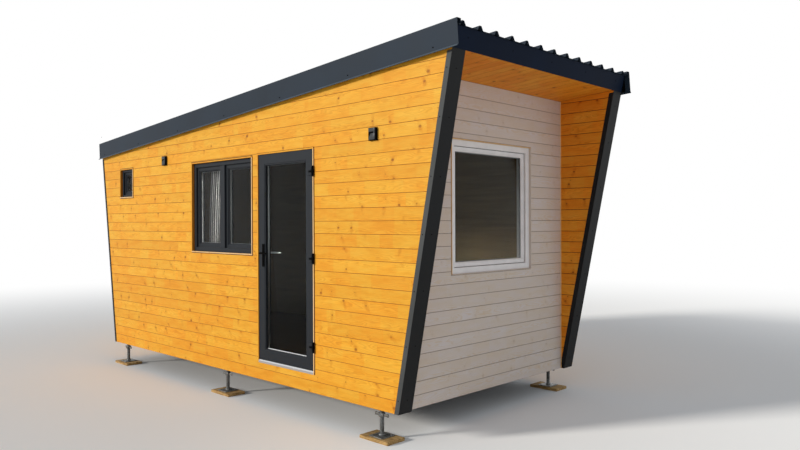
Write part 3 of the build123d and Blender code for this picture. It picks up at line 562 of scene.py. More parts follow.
def dress(finish, *nodes):
    """Give CAD nodes one of the finishes."""
    for node in nodes:
        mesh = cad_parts[node].data
        mesh.materials.clear()
        mesh.materials.append(FINISH[finish][0])


def put(matrix, *parts):
    """Move bmeshes from a wall's own frame to the house's."""
    for bm in parts:
        bmesh.ops.transform(bm, matrix=matrix, verts=bm.verts[:])


def merged(*parts):
    """One bmesh from several."""
    whole = bmesh.new()
    for part in parts:
        kept = mesh_of(part, "part")
        whole.from_mesh(kept)
        bpy.data.meshes.remove(kept)
    return whole


def grained_bmesh():
    """Empty bmesh with a UV map for the grain and a tone for each board."""
    bm = bmesh.new()
    bm.loops.layers.uv.new("UVMap")
    bm.faces.layers.float.new("tone")
    return bm


def lay_grain(bm, faces, axis, rng):
    """UV map in metres, u along one axis and v across it, and a tone, both drawn for this board."""
    uv, tone = bm.loops.layers.uv["UVMap"], bm.faces.layers.float["tone"]
    shift, shade = (rng.uniform(0, 50), rng.uniform(0, 20)), rng.random()
    for face in faces:
        face[tone] = shade
        for loop in face.loops:
            spot = loop.vert.co
            loop[uv].uv = (spot[axis] + shift[0], sum(spot) - spot[axis] + shift[1])


def soften(bm, edges, offset, segments=2):
    """Bevel edges, and the faces that this makes."""
    return bmesh.ops.bevel(bm, geom=list(edges), offset=offset, segments=segments, profile=0.5,
                           affect="EDGES", clamp_overlap=True, material=-1)["faces"]


def edges_of(verts):
    """Edges at some vertices."""
    return {e for v in verts for e in v.link_edges}


def sharp_edges(faces):
    """Edges of a closed shape's faces that turn by more than some 30 degrees."""
    return {e for f in faces for e in f.edges if e.is_manifold and e.calc_face_angle() > 0.5}


def sorted_out(geometry):
    """Vertices, edges and faces among an operator's results."""
    kinds = (bmesh.types.BMVert, bmesh.types.BMEdge, bmesh.types.BMFace)
    return [[g for g in geometry if isinstance(g, kind)] for kind in kinds]


def extruded(bm, faces, keep=True):
    """Vertices, edges and faces of an extrusion of faces, which are kept as its start or not."""
    return sorted_out(bmesh.ops.extrude_face_region(bm, geom=faces, use_keep_orig=keep)["geom"])


def add_box(bm, low, high, bevel=0.0, segments=2):
    """Block between two corners with bevelled edges, and its faces."""
    low, high = Vector(low), Vector(high)
    others = set(bm.faces)
    made = bmesh.ops.create_cube(bm, size=1, matrix=Matrix.LocRotScale((low + high) / 2, None, high - low))
    if bevel:
        soften(bm, edges_of(made["verts"]), bevel, segments)
    return [f for f in bm.faces if f not in others]


def add_drum(bm, matrix, radius, depth, segments=24, bevel=0.0):
    """Round disc or bar about the matrix's z axis, centred on it."""
    made = bmesh.ops.create_cone(bm, cap_ends=True, segments=segments, radius1=radius, radius2=radius,
                                 depth=depth, matrix=matrix)
    if bevel:
        soften(bm, {e for e in edges_of(made["verts"]) if any(len(f.verts) > 4 for f in e.link_faces)}, bevel)


def add_slab(bm, outline, low, high, bevel):
    """Flat block with an outline, between two depths, with bevelled edges."""
    base = bm.faces.new([bm.verts.new((x, y, low)) for x, y in outline])
    fresh = extruded(bm, [base])[0]
    bmesh.ops.translate(bm, verts=fresh, vec=(0, 0, high - low))
    faces = {f for v in fresh for f in v.link_faces} | {base}
    bmesh.ops.recalc_face_normals(bm, faces=list(faces))
    soften(bm, sharp_edges(faces), bevel)


def facing(spot, normal):
    """Matrix at a place whose z axis points along a normal."""
    return Matrix.Translation(spot) @ Vector(normal).to_track_quat("Z", "Y").to_matrix().to_4x4()


def add_screw(bm, spot, normal, radius=0.0065, washer=0.0):
    """Pan head standing on a surface, or a hexagon head on a washer."""
    sides, top = (6, 0.92) if washer else (12, 0.62)
    matrix = facing(spot, normal)
    if washer:
        bmesh.ops.create_cone(bm, cap_ends=True, segments=14, radius1=washer, radius2=washer * 0.8,
                              depth=0.0022, matrix=matrix @ Matrix.Translation((0, 0, 0.0009)))
    rise = Matrix.Translation((0, 0, radius * 0.3 + washer * 0.15))
    head = bmesh.ops.create_cone(bm, cap_ends=True, segments=sides, radius1=radius, radius2=radius * top,
                                 depth=radius * 0.75, matrix=matrix @ rise)
    back = matrix.inverted()
    rim = {e for e in edges_of(head["verts"]) if all((back @ v.co).z > radius * 0.3 for v in e.verts)}
    soften(bm, rim, radius * 0.15, 1)


def drawn_in(rectangle, border, foot=None):
    """Rectangle of left, right, low and high drawn in by a border, or by another measure at its foot."""
    left, right, low, high = rectangle
    return left + border, right - border, low + (border if foot is None else foot), high - border


def rings(rectangle, *steps):
    """Rectangles drawn in by borders, each with its depth, and its border at the foot where that differs."""
    return [(*drawn_in(rectangle, border, *foot), depth) for border, depth, *foot in steps]


def add_frame(bm, rectangles, bevel=0.0):
    """Closed frame through a row of rectangles, mitred at its corners, with softened edges."""
    corners = [((left, low, depth), (right, low, depth), (right, high, depth), (left, high, depth))
               for left, right, low, high, depth in rectangles]
    start = ring = [bm.verts.new(c) for c in corners[0]]
    edges = [bm.edges.new((ring[i - 1], ring[i])) for i in range(4)]
    faces = []
    for row in corners[1:] + corners[:1]:
        fresh, edges, sides = sorted_out(bmesh.ops.extrude_edge_only(bm, edges=edges)["geom"])
        edges = [e for e in edges if all(v in fresh for v in e.verts)]
        faces += sides
        ring = [next(e.other_vert(v) for e in v.link_edges if e.other_vert(v) in fresh) for v in ring]
        for vert, corner in zip(ring, row):
            vert.co = corner
    bmesh.ops.weld_verts(bm, targetmap=dict(zip(ring, start)))
    bmesh.ops.recalc_face_normals(bm, faces=faces)
    if bevel:
        soften(bm, sharp_edges(faces), bevel)


# Boards
def slice_at(bm, spot, normal, faces=None):
    """Cut all faces, or some of them, along a plane."""
    faces = faces or bm.faces[:]
    geometry = list({v for f in faces for v in f.verts}) + list({e for f in faces for e in f.edges}) + faces
    bmesh.ops.bisect_plane(bm, geom=geometry, dist=1e-6, plane_co=spot, plane_no=normal)


def clad(name, matrix, outline, openings, finish, replaces, rng, foot=SILL, joints=(1.4, 3.2), wear=1.0):
    """Cover a wall with boards in courses, an open joint between them, cut round its openings; each board
    is a closed shape of its own. Butt joints are tight, a random length apart. Wear widens the chamfers."""
    boards = settings()[0]
    bm = bmesh.new()
    bm.faces.new([bm.verts.new((x, y, 0)) for x, y in outline])
    for left, right, low, high in openings:
        for x in (left, right):
            slice_at(bm, (x, 0, 0), (1, 0, 0))
        for y in (low, high):
            slice_at(bm, (0, y, 0), (0, 1, 0))
        hole = [f for f in bm.faces if left < f.calc_center_median().x < right
                and low < f.calc_center_median().y < high]
        bmesh.ops.delete(bm, geom=hole, context="FACES")
    left, right = min(x for x, y in outline), max(x for x, y in outline)
    top = max(y for x, y in outline)
    narrowest, shortest = 0.03, 0.25
    levels = [foot + boards.first]
    while levels[-1] + boards.cover < top - narrowest:
        levels.append(levels[-1] + boards.cover)
    half = boards.gap / 2
    for level in levels:
        for y in (level - half, level + half):
            slice_at(bm, (0, y, 0), (0, 1, 0))
    strips = [f for f in bm.faces if any(abs(f.calc_center_median().y - y) < half for y in levels)]
    bmesh.ops.delete(bm, geom=strips, context="FACES")
    bounds = [levels[0] - boards.cover, *levels, levels[-1] + boards.cover]

    def course_of(face):
        """Number of the course that a face is in."""
        return sum(face.calc_center_median().y > level for level in levels)

    butts = []
    for course in sorted({course_of(f) for f in bm.faces}) if joints else ():
        x = left + rng.uniform(0.3, joints[1])
        while x < right - shortest:
            row = [f for f in bm.faces if bounds[course] < f.calc_center_median().y < bounds[course + 1]]
            slice_at(bm, (x, 0, 0), (1, 0, 0), row)
            butts.append((bounds[course], bounds[course + 1], x))
            x += rng.uniform(*joints)

    def is_butt(edge):
        """Whether an edge lies where two boards of a course meet."""
        a, b = (v.co for v in edge.verts)
        return any(low < (a.y + b.y) / 2 < high and abs(a.x - x) < 1e-5 and abs(b.x - x) < 1e-5
                   for low, high, x in butts)

    bmesh.ops.split_edges(bm, edges=[e for e in bm.edges if len(e.link_faces) == 2 and is_butt(e)])
    bmesh.ops.dissolve_edges(bm, edges=[e for e in bm.edges if len(e.link_faces) == 2], use_verts=False)
    bmesh.ops.dissolve_verts(bm, verts=[v for v in bm.verts if len(v.link_edges) == 2
                                        and v.calc_edge_angle(0) < 0.001])
    tone = bm.faces.layers.float.new("tone")
    edge_layer = bm.faces.layers.float.new("edge")
    board = bm.faces.layers.int.new("board")
    shifts = []
    for face in bm.faces:
        face[tone] = rng.random()
        face[board] = len(shifts)
        course = course_of(face)
        shifts.append((rng.uniform(0, 50), -(bounds[course] + bounds[course + 1]) / 2))
    bmesh.ops.translate(bm, verts=extruded(bm, bm.faces[:])[0], vec=(0, 0, BOARD))
    bmesh.ops.recalc_face_normals(bm, faces=bm.faces[:])
    for face in bm.faces:
        # Board sides in the joints take the joint colour by 0.6 and the chamfers fully: stain and painted
        # groove shade
        face[edge_layer] = 0.6 if abs(face.normal.z) < 0.5 else 0.0
    fronts = [e for e in bm.edges if all(v.co.z > BOARD - 1e-5 for v in e.verts) and not is_butt(e)]
    for face in soften(bm, fronts, boards.groove * wear):
        face[edge_layer] = 1.0
    uv = bm.loops.layers.uv.new("UVMap")
    for face in bm.faces:
        shift = shifts[face[board]]
        for loop in face.loops:
            loop[uv].uv = (loop.vert.co.x + shift[0], loop.vert.co.y + loop.vert.co.z + shift[1])
    put(matrix, bm)
    finish_piece(bm, name, finish, replaces=replaces)


class HOUSE_OT_boards(bpy.types.Operator):
    """Clad the four sides, the porch's inner sides and its ceiling with boards"""
    bl_idname = "house.boards"
    bl_label = "Boards"

    def execute(self, context):
        rng = random.Random(settings()[0].seed)
        doorway = (DOORWAY[0] - DOOR_LINING, DOORWAY[1] + DOOR_LINING, DOORWAY[2],
                   DOORWAY[3] + DOOR_HEAD_LINING)
        wing_foot = (FRONT_FOOT + WING_PROUD, SILL)
        side = [(REAR_FOOT, SILL), wing_foot, front_head(DECK_LIFT, WING_PROUD), rear_head(DECK_LIFT)]
        clad("honey_boards_door_side", wall((0, NEAR + BOARD, 0), (1, 0, 0)), side,
             [doorway, WINDOWS["double"], WINDOWS["small"]], "honey", "door_side_boards", rng)
        clad("honey_boards_far_side", wall((0, FAR - BOARD, 0), (-1, 0, 0)), mirrored(side), [], "honey",
             "far_side_boards", rng)
        lean = 1 / math.cos(REAR_LEAN)
        rear_top = (rear_head(DECK_LIFT, BOARD * lean)[1] - SILL) * lean
        half = (FAR - NEAR) / 2 - BOARD
        rear = wall((REAR_FOOT + BOARD * lean, MIDDLE, SILL), (0, -1, 0),
                    (-math.sin(REAR_LEAN), 0, math.cos(REAR_LEAN)))
        clad("honey_boards_rear", rear, [(-half, 0), (half, 0), (half, rear_top), (-half, rear_top)], [],
             "honey", "rear_end_boards", rng, foot=0)
        inner_near, inner_far = NEAR + BOARD + CORE, FAR - BOARD - CORE
        start = END_FACE - BOARD
        end_top = slope_line(start, SOFFIT_LIFT)
        clad("white_boards_end", wall((start, 0, 0), (0, 1, 0)),
             [(inner_near, SILL), (inner_far, SILL), (inner_far, end_top), (inner_near, end_top)],
             [WINDOWS["end"]], "white", "front_end_boards", rng, joints=())
        wing = [(END_FACE, SILL), wing_foot, front_head(SOFFIT_LIFT, WING_PROUD),
                (END_FACE, slope_line(END_FACE, SOFFIT_LIFT))]
        clad("honey_boards_far_wing", wall((0, inner_far, 0), (1, 0, 0)), wing, [], "porch",
             "wing_lining_boards", rng, joints=())
        clad("honey_boards_near_wing", wall((0, inner_near, 0), (-1, 0, 0)), mirrored(wing), [], "porch",
             "wing_lining_boards", rng, joints=())
        depth = (front_head(SOFFIT_LIFT, WING_PROUD)[0] - start) / math.cos(SLOPE)
        soffit = wall((start, 0, end_top), (math.cos(SLOPE), 0, math.sin(SLOPE)), (0, -1, 0))
        clad("honey_boards_soffit", soffit @ Matrix.Translation((0, 0, -BOARD)),
             [(0, -inner_far), (depth, -inner_far), (depth, -inner_near), (0, -inner_near)], [], "porch",
             "porch_soffit", rng, foot=-inner_far, joints=(), wear=0.4)
        bm = grained_bmesh()
        bead = 0.008
        for y in (inner_far - BOARD - bead, inner_near + BOARD):
            faces = add_box(bm, (END_FACE, y, SILL + 0.002), (END_FACE + bead, y + bead, end_top), 0.002)
            lay_grain(bm, faces, 2, rng)
        finish_piece(bm, "corner_beads", "pale")
        return {"FINISHED"}


class HOUSE_OT_metalwork(bpy.types.Operator):
    """Finish the roof sheet, flashings and corner trims and put their screws in"""
    bl_idname = "house.metalwork"
    bl_label = "Roof and flashings"

    def execute(self, context):
        dress("sheet", "roof_sheet", "door_side_verge", "far_side_verge")
        # The fascias take a darker copy of the sheet: painted shade
        dress("fascia", "front_fascia", "rear_fascia")
        # The corner trims take a darker copy of the sheet: painted shade
        dress("trim", "front_corner_trims", "rear_corner_trims")
        front_x, rear_x = front_head(0, TRIM_PROUD)[0], rear_head(0)[0]
        self.add_flashing_screws(front_x, rear_x)
        self.add_roof_screws(front_x, rear_x)
        self.add_hems()
        self.add_trim_returns()
        return {"FINISHED"}

    def add_flashing_screws(self, front_x, rear_x):
        """Screws along the verges, down the corner trims and across the fascias."""
        bm = bmesh.new()
        sides = ((NEAR, -1), (FAR, 1))
        run, first, ends = front_x - rear_x, 0.16, 0.3
        small, verge_rise, fascia_rise = 0.005, 0.045, 0.105
        face_inset, front_inset, rear_inset = 0.075, 0.026, 0.02
        count = int(run / settings()[1].screw_pitch)
        for index in range(count + 1):
            x = front_x - first - index * (run - ends) / count
            for y, out in sides:
                add_screw(bm, (x, y + out * VERGE_OUT, slope_line(x, verge_rise)), (0, out, 0))
        for share in (0.04, 0.2, 0.36, 0.52, 0.68, 0.84, 0.97):
            rise = share * EAVES_RISE
            z = SILL + rise
            x = FRONT_FOOT + TRIM_PROUD + rise * FRONT_TAN
            for y, out in sides:
                add_screw(bm, (x, y - out * face_inset, z), (1, 0, -FRONT_TAN), small)
                for post in (x - front_inset, REAR_FOOT - rise * REAR_TAN + rear_inset):
                    add_screw(bm, (post, y + out * SHEET, z), (0, out, 0), small)
        for share in (0.06, 0.28, 0.5, 0.72, 0.94):
            y = NEAR + share * (FAR - NEAR)
            for (x, z), out, tan in ((front_head(fascia_rise, TRIM_PROUD + SHEET), 1, FRONT_TAN),
                                     (rear_head(fascia_rise, -SHEET), -1, REAR_TAN)):
                add_screw(bm, (x, y, z), (out, 0, -tan), small)
        finish_piece(bm, "flashing_screws", "black", smooth=40)

    def add_roof_screws(self, front_x, rear_x):
        """Hexagon screws on the crests of the ribs, in every second place between the end rows."""
        bm = bmesh.new()
        rows, first, ends = 9, 0.12, 0.3
        for row in range(rows):
            x = rear_x + first + row * (front_x - rear_x - ends) / (rows - 1)
            z = slope_line(x, ROOF_LIFT + SHEET + RIB_HEIGHT)
            for rib in range(RIB_COUNT):
                if row in (0, rows - 1) or (rib + row) % 2 == 0:
                    y = MIDDLE + (rib - (RIB_COUNT - 1) / 2) * RIB_PITCH
                    add_screw(bm, (x, y, z), (-math.sin(SLOPE), 0, math.cos(SLOPE)), 0.0045, 0.0085)
        finish_piece(bm, "roof_screws", "sheet", smooth=40)

    def add_hems(self):
        """Paler strips on the verges' drip edges, which flare out by 12 mm in 16: a painted highlight along
        each drip.
        """
        low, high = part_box("door_side_verge")
        flare, drop = 0.012, 0.016
        hems = []
        for side, y, x in ((1, NEAR - VERGE_OUT, low.x + 0.004), (-1, FAR + VERGE_OUT, high.x - 0.006)):
            up = Vector((-drop * math.sin(SLOPE), side * flare, drop * math.cos(SLOPE))).normalized()
            hem = bmesh.new()
            add_box(hem, (0, 0.0012, -0.0002), ((high.x - low.x - 0.012) / math.cos(SLOPE), 0.0192, 0.0006))
            put(wall((x, y - side * flare, slope_line(x)),
                     (side * math.cos(SLOPE), 0, side * math.sin(SLOPE)), up), hem)
            hems.append(hem)
        finish_piece(merged(*hems), "verge_hems", "hem")

    def add_trim_returns(self):
        """Paler faces over the front corner trims' returns on both sides, which paint the light on them."""
        margin = 0.001
        outline = [(FRONT_FOOT + margin, SILL + margin), (FRONT_FOOT + TRIM_PROUD - margin, SILL + margin),
                   front_head(0, TRIM_PROUD - margin), front_head(0, margin)]
        returns = []
        for shape, matrix in ((outline, DOOR_SIDE), (mirrored(outline), wall((0, FAR, 0), (-1, 0, 0)))):
            bm = bmesh.new()
            add_slab(bm, shape, SHEET - 0.0002, SHEET + 0.0004, 0.0002)
            put(matrix, bm)
            returns.append(bm)
        finish_piece(merged(*returns), "trim_return_faces", "faded")


class HOUSE_OT_structure(bpy.types.Operator):
    """Finish the panels, the chassis and the battens"""
    bl_idname = "house.structure"
    bl_label = "Structure"

    def execute(self, context):
        dress("panel", "door_wall_front", "door_wall_head", "door_wall_sill", "door_wall_rear", "far_wall",
              "rear_wall", "front_end_wall", "roof_deck")
        # The floor deck's dark panel paints the dim room's shade
        dress("floor", "floor_deck")
        dress("black", "verge_battens")
        dress("chassis", "chassis_rails", "chassis_cross_members")
        return {"FINISHED"}


# Windows and door
def add_planks(plain, bright, rectangle, thickness, foot_thickness, rng, soaked=0.85):
    """Lining boards round an opening, with the grain along each: the left one and the head in one bmesh, the
    right one and the foot in another, which on the door side takes a paler copy of the stain that paints the
    sunlight on them. A foot of no thickness is left out. Their sides take the joint colour by a share, which
    paints the shade on them."""
    left, right, low, high = rectangle
    head, floor = foot_thickness or thickness, low + foot_thickness
    front, back = LINING_PROUD, -BOARD - CORE
    spans = [(plain, (left, floor, back), (left + thickness, high - head, front), 1),
             (plain, (left, high - head, back), (right, high, front), 0),
             (bright, (right - thickness, floor, back), (right, high - head, front), 1)]
    if foot_thickness:
        spans.append((bright, (left, low, back), (right, floor, front), 0))
    for bm in (plain, bright):
        bm.faces.layers.float.new("edge")
    for bm, start, stop, axis in spans:
        faces = add_box(bm, start, stop, 0.0015)
        lay_grain(bm, faces, axis, rng)
        for face in faces:
            # Every face but the front takes the joint colour by this share: painted shade on the planks'
            # sides
            face[bm.faces.layers.float["edge"]] = 0.0 if face.normal.z > 0.5 else soaked


def add_double_glazing(bm_glass, bm_spacer, bm_seal, view, front):
    """Two panes with a spacer between them in a groove, and a rubber seal in front."""
    bite, pane, slack = 0.012, 0.004, 0.0005
    left, right, low, high = whole = drawn_in(view, -bite)
    for z in (front - pane, front - GLAZING):
        add_box(bm_glass, (left, low, z), (right, high, z + pane))
    near, far, width = front - pane - slack, front - GLAZING + pane + slack, bite + pane
    add_frame(bm_spacer, rings(whole, (pane, near), (width, near), (width, far), (pane, far)))
    add_frame(bm_seal, rings(view, (0, front + 0.003), (0.003, front + 0.001), (0.003, front), (0, front)))


def window(matrix, name, lining, setback, border, mullion, sash, bead):
    """Outer frame, sashes with beads, panes, spacers and seals of one window, in its wall's frame."""
    whole = drawn_in(WINDOWS[name], lining)
    front, back, soft, slack = -setback, -setback - 0.070, 0.004, 0.0005
    body, sashes, glass, spacer, seal = parts = [bmesh.new() for _ in range(5)]
    add_frame(body, rings(whole, (0, front), (border - soft, front), (border, front - soft), (border, back),
                          (0, back)), 0.0015)
    left, right, low, high = drawn_in(whole, border)
    spans = [(left, right)]
    if mullion:
        middle = (left + right) / 2
        spans = [(left, middle - mullion / 2), (middle + mullion / 2, right)]
        add_box(body, (spans[0][1], low, back), (spans[1][0], high, front), 0.002)
    # Caps of the drain slots, 32 by 8 mm
    foot, drain_inset = whole[2] + 0.008, 0.12
    for x in (x for a, b in spans for x in (a + drain_inset, b - drain_inset)):
        add_box(body, (x - 0.016, foot, front - 0.001), (x + 0.016, foot + 0.008, front + 0.0015), 0.001)
    leaf, chamfer, gap = front - 0.020, 0.006, 0.0015
    step, seat, inner = leaf - chamfer, leaf - 0.016, sash + bead
    rebate, seat_back, sash_back = inner - 0.014, seat - GLAZING, leaf - 0.058
    for a, b in spans:
        area = (a, b, low, high)
        add_frame(sashes, rings(
            area, (gap, leaf), (sash, leaf), (sash, step), (inner - chamfer, step), (inner, step - chamfer),
            (inner, seat - slack), (rebate, seat - slack), (rebate, seat_back + slack),
            (inner, seat_back + slack), (inner, sash_back), (gap, sash_back)), 0.0012)
        add_double_glazing(glass, spacer, seal, drawn_in(area, inner), seat)
        add_frame(seal, rings(area, (-slack, leaf + slack), (0.004, leaf + slack), (0.004, leaf - 0.004),
                              (-slack, leaf - 0.004)))
    put(matrix, *parts)
    return parts


class HOUSE_OT_windows(bpy.types.Operator):
    """Make the windows: linings, frames, sashes, insulating glass and seals"""
    bl_idname = "house.windows"
    bl_label = "Windows"

    def execute(self, context):
        rng = random.Random(settings()[0].seed + 1)
        plain, bright, tapes = bmesh.new(), bmesh.new(), bmesh.new()
        for name, matrix, gap, plank, soaked in (
                ("double", DOOR_SIDE, LINING - PLANK, PLANK, 0.85),
                ("small", DOOR_SIDE, LINING - PLANK, PLANK, 0.85),
                ("end", END_WALL, 0.002, END_LINING - 0.002, 0.1)):
            left_half, right_half, tape = grained_bmesh(), grained_bmesh(), bmesh.new()
            add_planks(left_half, right_half, drawn_in(WINDOWS[name], gap), plank, plank, rng, soaked)
            # Black sealing tape at the back of the gap round the lining: its black also paints the shade in
            # the gap
            add_frame(tape, rings(WINDOWS[name], (0, TAPE_FRONT), (gap, TAPE_FRONT), (gap, TAPE_BACK),
                                  (0, TAPE_BACK)))
            put(matrix, left_half, right_half, tape)
            if name == "end":
                bright, white = merged(bright, left_half), right_half
            else:
                plain, bright = merged(plain, left_half), merged(bright, right_half)
            tapes = merged(tapes, tape)
        # The door side's right planks and feet take the pale finish, which paints the sunlight on them; the
        # end window's left plank and head take it too
        finish_piece(plain, "window_lining_boards", "honey", replaces="door_side_window_linings")
        finish_piece(bright, "bleached_window_linings", "pale", replaces="end_window_lining")
        finish_piece(white, "whitewashed_window_lining", "white", replaces="end_window_lining")
        finish_piece(tapes, "window_joint_tapes", "rubber")
        double = window(DOOR_SIDE, "double", LINING, 0.023, 0.045, 0.084, 0.033, 0.014)
        small = window(DOOR_SIDE, "small", LINING, 0.023, 0.030, 0, 0.028, 0.014)
        end = window(END_WALL, "end", END_LINING, 0.016, 0.055, 0, 0.033, 0.014)
        for name, finish, replaces, *parts in (
                ("anthracite_window_frames", "foil", "door_side_window_frames", double[0], small[0]),
                ("anthracite_sashes", "foil", "door_side_sashes", double[1], small[1]),
                ("white_window_frame", "plastic", "end_window_frame", end[0]),
                ("white_sash", "plastic", "end_window_sash", end[1]),
                ("door_side_glass", "glass", "door_side_panes", double[2], small[2]),
                ("end_glass", "glass", "end_window_pane", end[2]),
                ("window_spacers", "aluminium", None, double[3], small[3], end[3]),
                ("window_seals", "rubber", None, double[4], small[4], end[4])):
            finish_piece(merged(*parts), name, finish, replaces=replaces)
        return {"FINISHED"}


class HOUSE_OT_door(bpy.types.Operator):
    """Make the glazed door, its frame, lining, threshold, hinges and handle"""
    bl_idname = "house.door"
    bl_label = "Door"

    def execute(self, context):
        rng = random.Random(settings()[0].seed + 2)
        left, right, low, high = DOORWAY
        plain, bright, tape = grained_bmesh(), grained_bmesh(), bmesh.new()
        joint = high + DOOR_HEAD_JOINT
        outer = (left - DOOR_PLANK, right + DOOR_PLANK, low, joint)
        add_planks(plain, bright, outer, DOOR_PLANK, 0, rng)
        # Black sealing tape at the back of the gaps round the lining: its black also paints the shade in the
        # gaps
        for tape_left, tape_right, foot, head in (
                (left - DOOR_LINING, outer[0], low, joint), (outer[1], right + DOOR_LINING, low, joint),
                (left - DOOR_LINING, right + DOOR_LINING, joint, high + DOOR_HEAD_LINING)):
            add_box(tape, (tape_left, foot, TAPE_BACK), (tape_right, head, TAPE_FRONT))
        put(DOOR_SIDE, plain, bright, tape)
        finish_piece(plain, "door_lining_boards", "honey", replaces="door_lining")
        # The right plank takes the pale finish, which paints the sunlight on it
        finish_piece(bright, "bleached_door_lining", "pale")
        finish_piece(tape, "door_joint_tapes", "rubber")
        dress("aluminium", "door_threshold")
        dress("foil", "door_frame")
        self.make_leaf()
        self.make_hinges()
        self.make_handle()
        return {"FINISHED"}

    def make_leaf(self):
        """Profile, glazing, seals and glazing strip of the leaf, all riding on the door."""
        start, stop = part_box("door_leaf")
        front = NEAR - start.y
        leaf = (start.x, stop.x, start.z, stop.z)
        border, flange, depth, rim, groove, soft, gap = 0.105, 0.022, 0.064, 0.040, 0.014, 0.004, 0.0005
        rebate, seat = border - groove, front - 0.028
        profile, glass, spacer, seal, strip = parts = [bmesh.new() for _ in range(5)]
        add_frame(profile, rings(
            leaf, (0, front), (rebate, front), (rebate + soft, front - soft), (border, front - soft),
            (border, seat), (rebate, seat), (rebate, seat - GLAZING), (border, seat - GLAZING),
            (border, front - depth), (rim, front - depth, gap), (rim, front - flange, gap),
            (0, front - flange)), 0.0012)
        view = drawn_in(leaf, border)
        add_double_glazing(glass, spacer, seal, view, seat)
        add_box(strip, (view[0], view[2] - 0.001, seat - 0.0005),
                (view[1], view[2] + 0.007, seat + 0.0025), 0.001)
        put(DOOR_SIDE, *parts)
        for bm, name, finish, replaces in (
                (profile, "door_leaf_profile", "foil", "door_leaf"),
                (strip, "door_glazing_strip", "silver", None), (glass, "door_panes", "glass", "door_glass"),
                (spacer, "door_spacer", "aluminium", None), (seal, "door_seals", "rubber", None)):
            finish_piece(bm, name, finish, "door", replaces)

    def make_hinges(self):
        """Leaf plates with a screw slot, and their black arms and middle knuckles."""
        dress("black", "wall_hinges", "handle_plates")
        low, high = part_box("leaf_hinges")
        start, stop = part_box("door_leaf")
        face, edge = start.y, stop.x - 0.002
        radius, half_plate, half_knuckle = 0.009, 0.037, 0.0155
        axis_x, axis_y = high.x - radius, low.y + 0.013
        plates, knuckles = [], bmesh.new()
        for share in (0.105, 0.505, 0.90):
            z = start.z + share * (stop.z - start.z)
            outside = (edge - 0.053, edge, z - half_plate, z + half_plate)
            slot = (edge - 0.048, edge - 0.013, z - 0.011, z + 0.007)
            plate = bmesh.new()
            add_frame(plate, [*rings(outside, (0, face), (0, face - 0.007), (0.002, face - 0.009)),
                              (*slot, face - 0.009), (*slot, face)], 0.0004)
            for vert in plate.verts:
                vert.co.yz = vert.co.zy
            bmesh.ops.recalc_face_normals(plate, faces=plate.faces[:])
            plates.append(plate)
            # Floor of the slot, cover strip, arm to the axis and its return into the leaf
            add_box(knuckles, (slot[0] - 0.0002, face - 0.0080, slot[2] - 0.0002),
                    (slot[1] + 0.0002, face + 0.0004, slot[3] + 0.0002))
            add_box(knuckles, (edge - 0.007, face - 0.0102, z - half_plate),
                    (edge + 0.0005, face - 0.005, z + half_plate), 0.001)
            for x, y in ((axis_x, axis_y + 0.004), (edge, face - 0.004)):
                add_box(knuckles, (edge - 0.004, axis_y - 0.004, z - half_knuckle),
                        (x, y, z + half_knuckle), 0.001)
            add_drum(knuckles, Matrix.Translation((axis_x, axis_y, z)), radius, half_knuckle * 2, 32, 0.0008)
        finish_piece(merged(*plates), "leaf_hinge_plates", "foil", "door", "leaf_hinges", 40)
        finish_piece(knuckles, "leaf_hinge_knuckles", "black", "door", smooth=40)

    def make_handle(self):
        """Levers bent out of round bar, flattened towards their tips, and the lock cylinder."""
        low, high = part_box("handle_plates")
        spindle_rise, cylinder_rise, proud = 0.131, 0.048, 0.0004
        x, z = (low.x + high.x) / 2, low.z + spindle_rise
        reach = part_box("door_levers")
        grip = 0.009
        outer = self.lever(x, z, low.y, reach[0].y + grip, reach[1].x)
        add_drum(outer, facing((x, (low.y + high.y) / 2, z), (0, 1, 0)), 0.005, high.y - low.y + 0.004, 16)
        finish_piece(outer, "outer_lever", "black", "handle", "door_levers", 40)
        inner = self.lever(x, z, high.y, reach[1].y - grip, reach[1].x)
        finish_piece(inner, "inner_lever", "silver", "handle", smooth=40)
        bm = bmesh.new()
        middle = low.z + cylinder_rise
        add_drum(bm, facing((x, low.y - 0.001, middle), (0, -1, 0)), 0.0085, 0.006, 24, 0.0008)
        # Bar for the key slot
        add_box(bm, (x - 0.0008, low.y - 0.0048, middle - 0.005),
                (x + 0.0008, low.y - 0.0035, middle + 0.005))
        for rise in (0.012, 0.206):
            for y, out in ((low.y - proud, -1), (high.y + proud, 1)):
                add_screw(bm, (x, y, low.z + rise), (0, out, 0), 0.004)
        finish_piece(bm, "lock_cylinder", "black", "door", smooth=40)

    def lever(self, x, z, plate_y, grip_y, tip_x):
        """Neck out of the plate, a bend, and a grip that ends in a rounded tip."""
        out = 1 if grip_y > plate_y else -1
        bend, radius = 0.014, 0.009
        bm = bmesh.new()
        ring = bmesh.ops.create_circle(bm, cap_ends=True, segments=20, radius=radius,
                                       matrix=facing((x, plate_y + out * 0.0003, z), (0, out, 0)))
        fresh, _, (cap, *_) = extruded(bm, [ring["verts"][0].link_faces[0]])
        bmesh.ops.translate(bm, verts=fresh, vec=(0, grip_y - out * bend - plate_y, 0))
        turned = bmesh.ops.spin(bm, geom=[cap, *cap.edges, *cap.verts], axis=(0, 0, 1), steps=8,
                                angle=-out * math.pi / 2, cent=(x + bend, grip_y - out * bend, z))
        cap = sorted_out(turned["geom_last"])[2][0]
        for step, flat in ((tip_x - 0.03, 0.72), (tip_x - 0.004, 0.66), (tip_x, 0.45)):
            fresh, _, (cap, *_) = extruded(bm, [cap], keep=False)
            for vert in fresh:
                vert.co = (step, grip_y + (vert.co.y - grip_y) * flat ** 0.5,
                           z + (vert.co.z - z) * flat ** 0.2)
        bmesh.ops.remove_doubles(bm, verts=bm.verts[:], dist=1e-6)
        bmesh.ops.recalc_face_normals(bm, faces=bm.faces[:])
        return bm


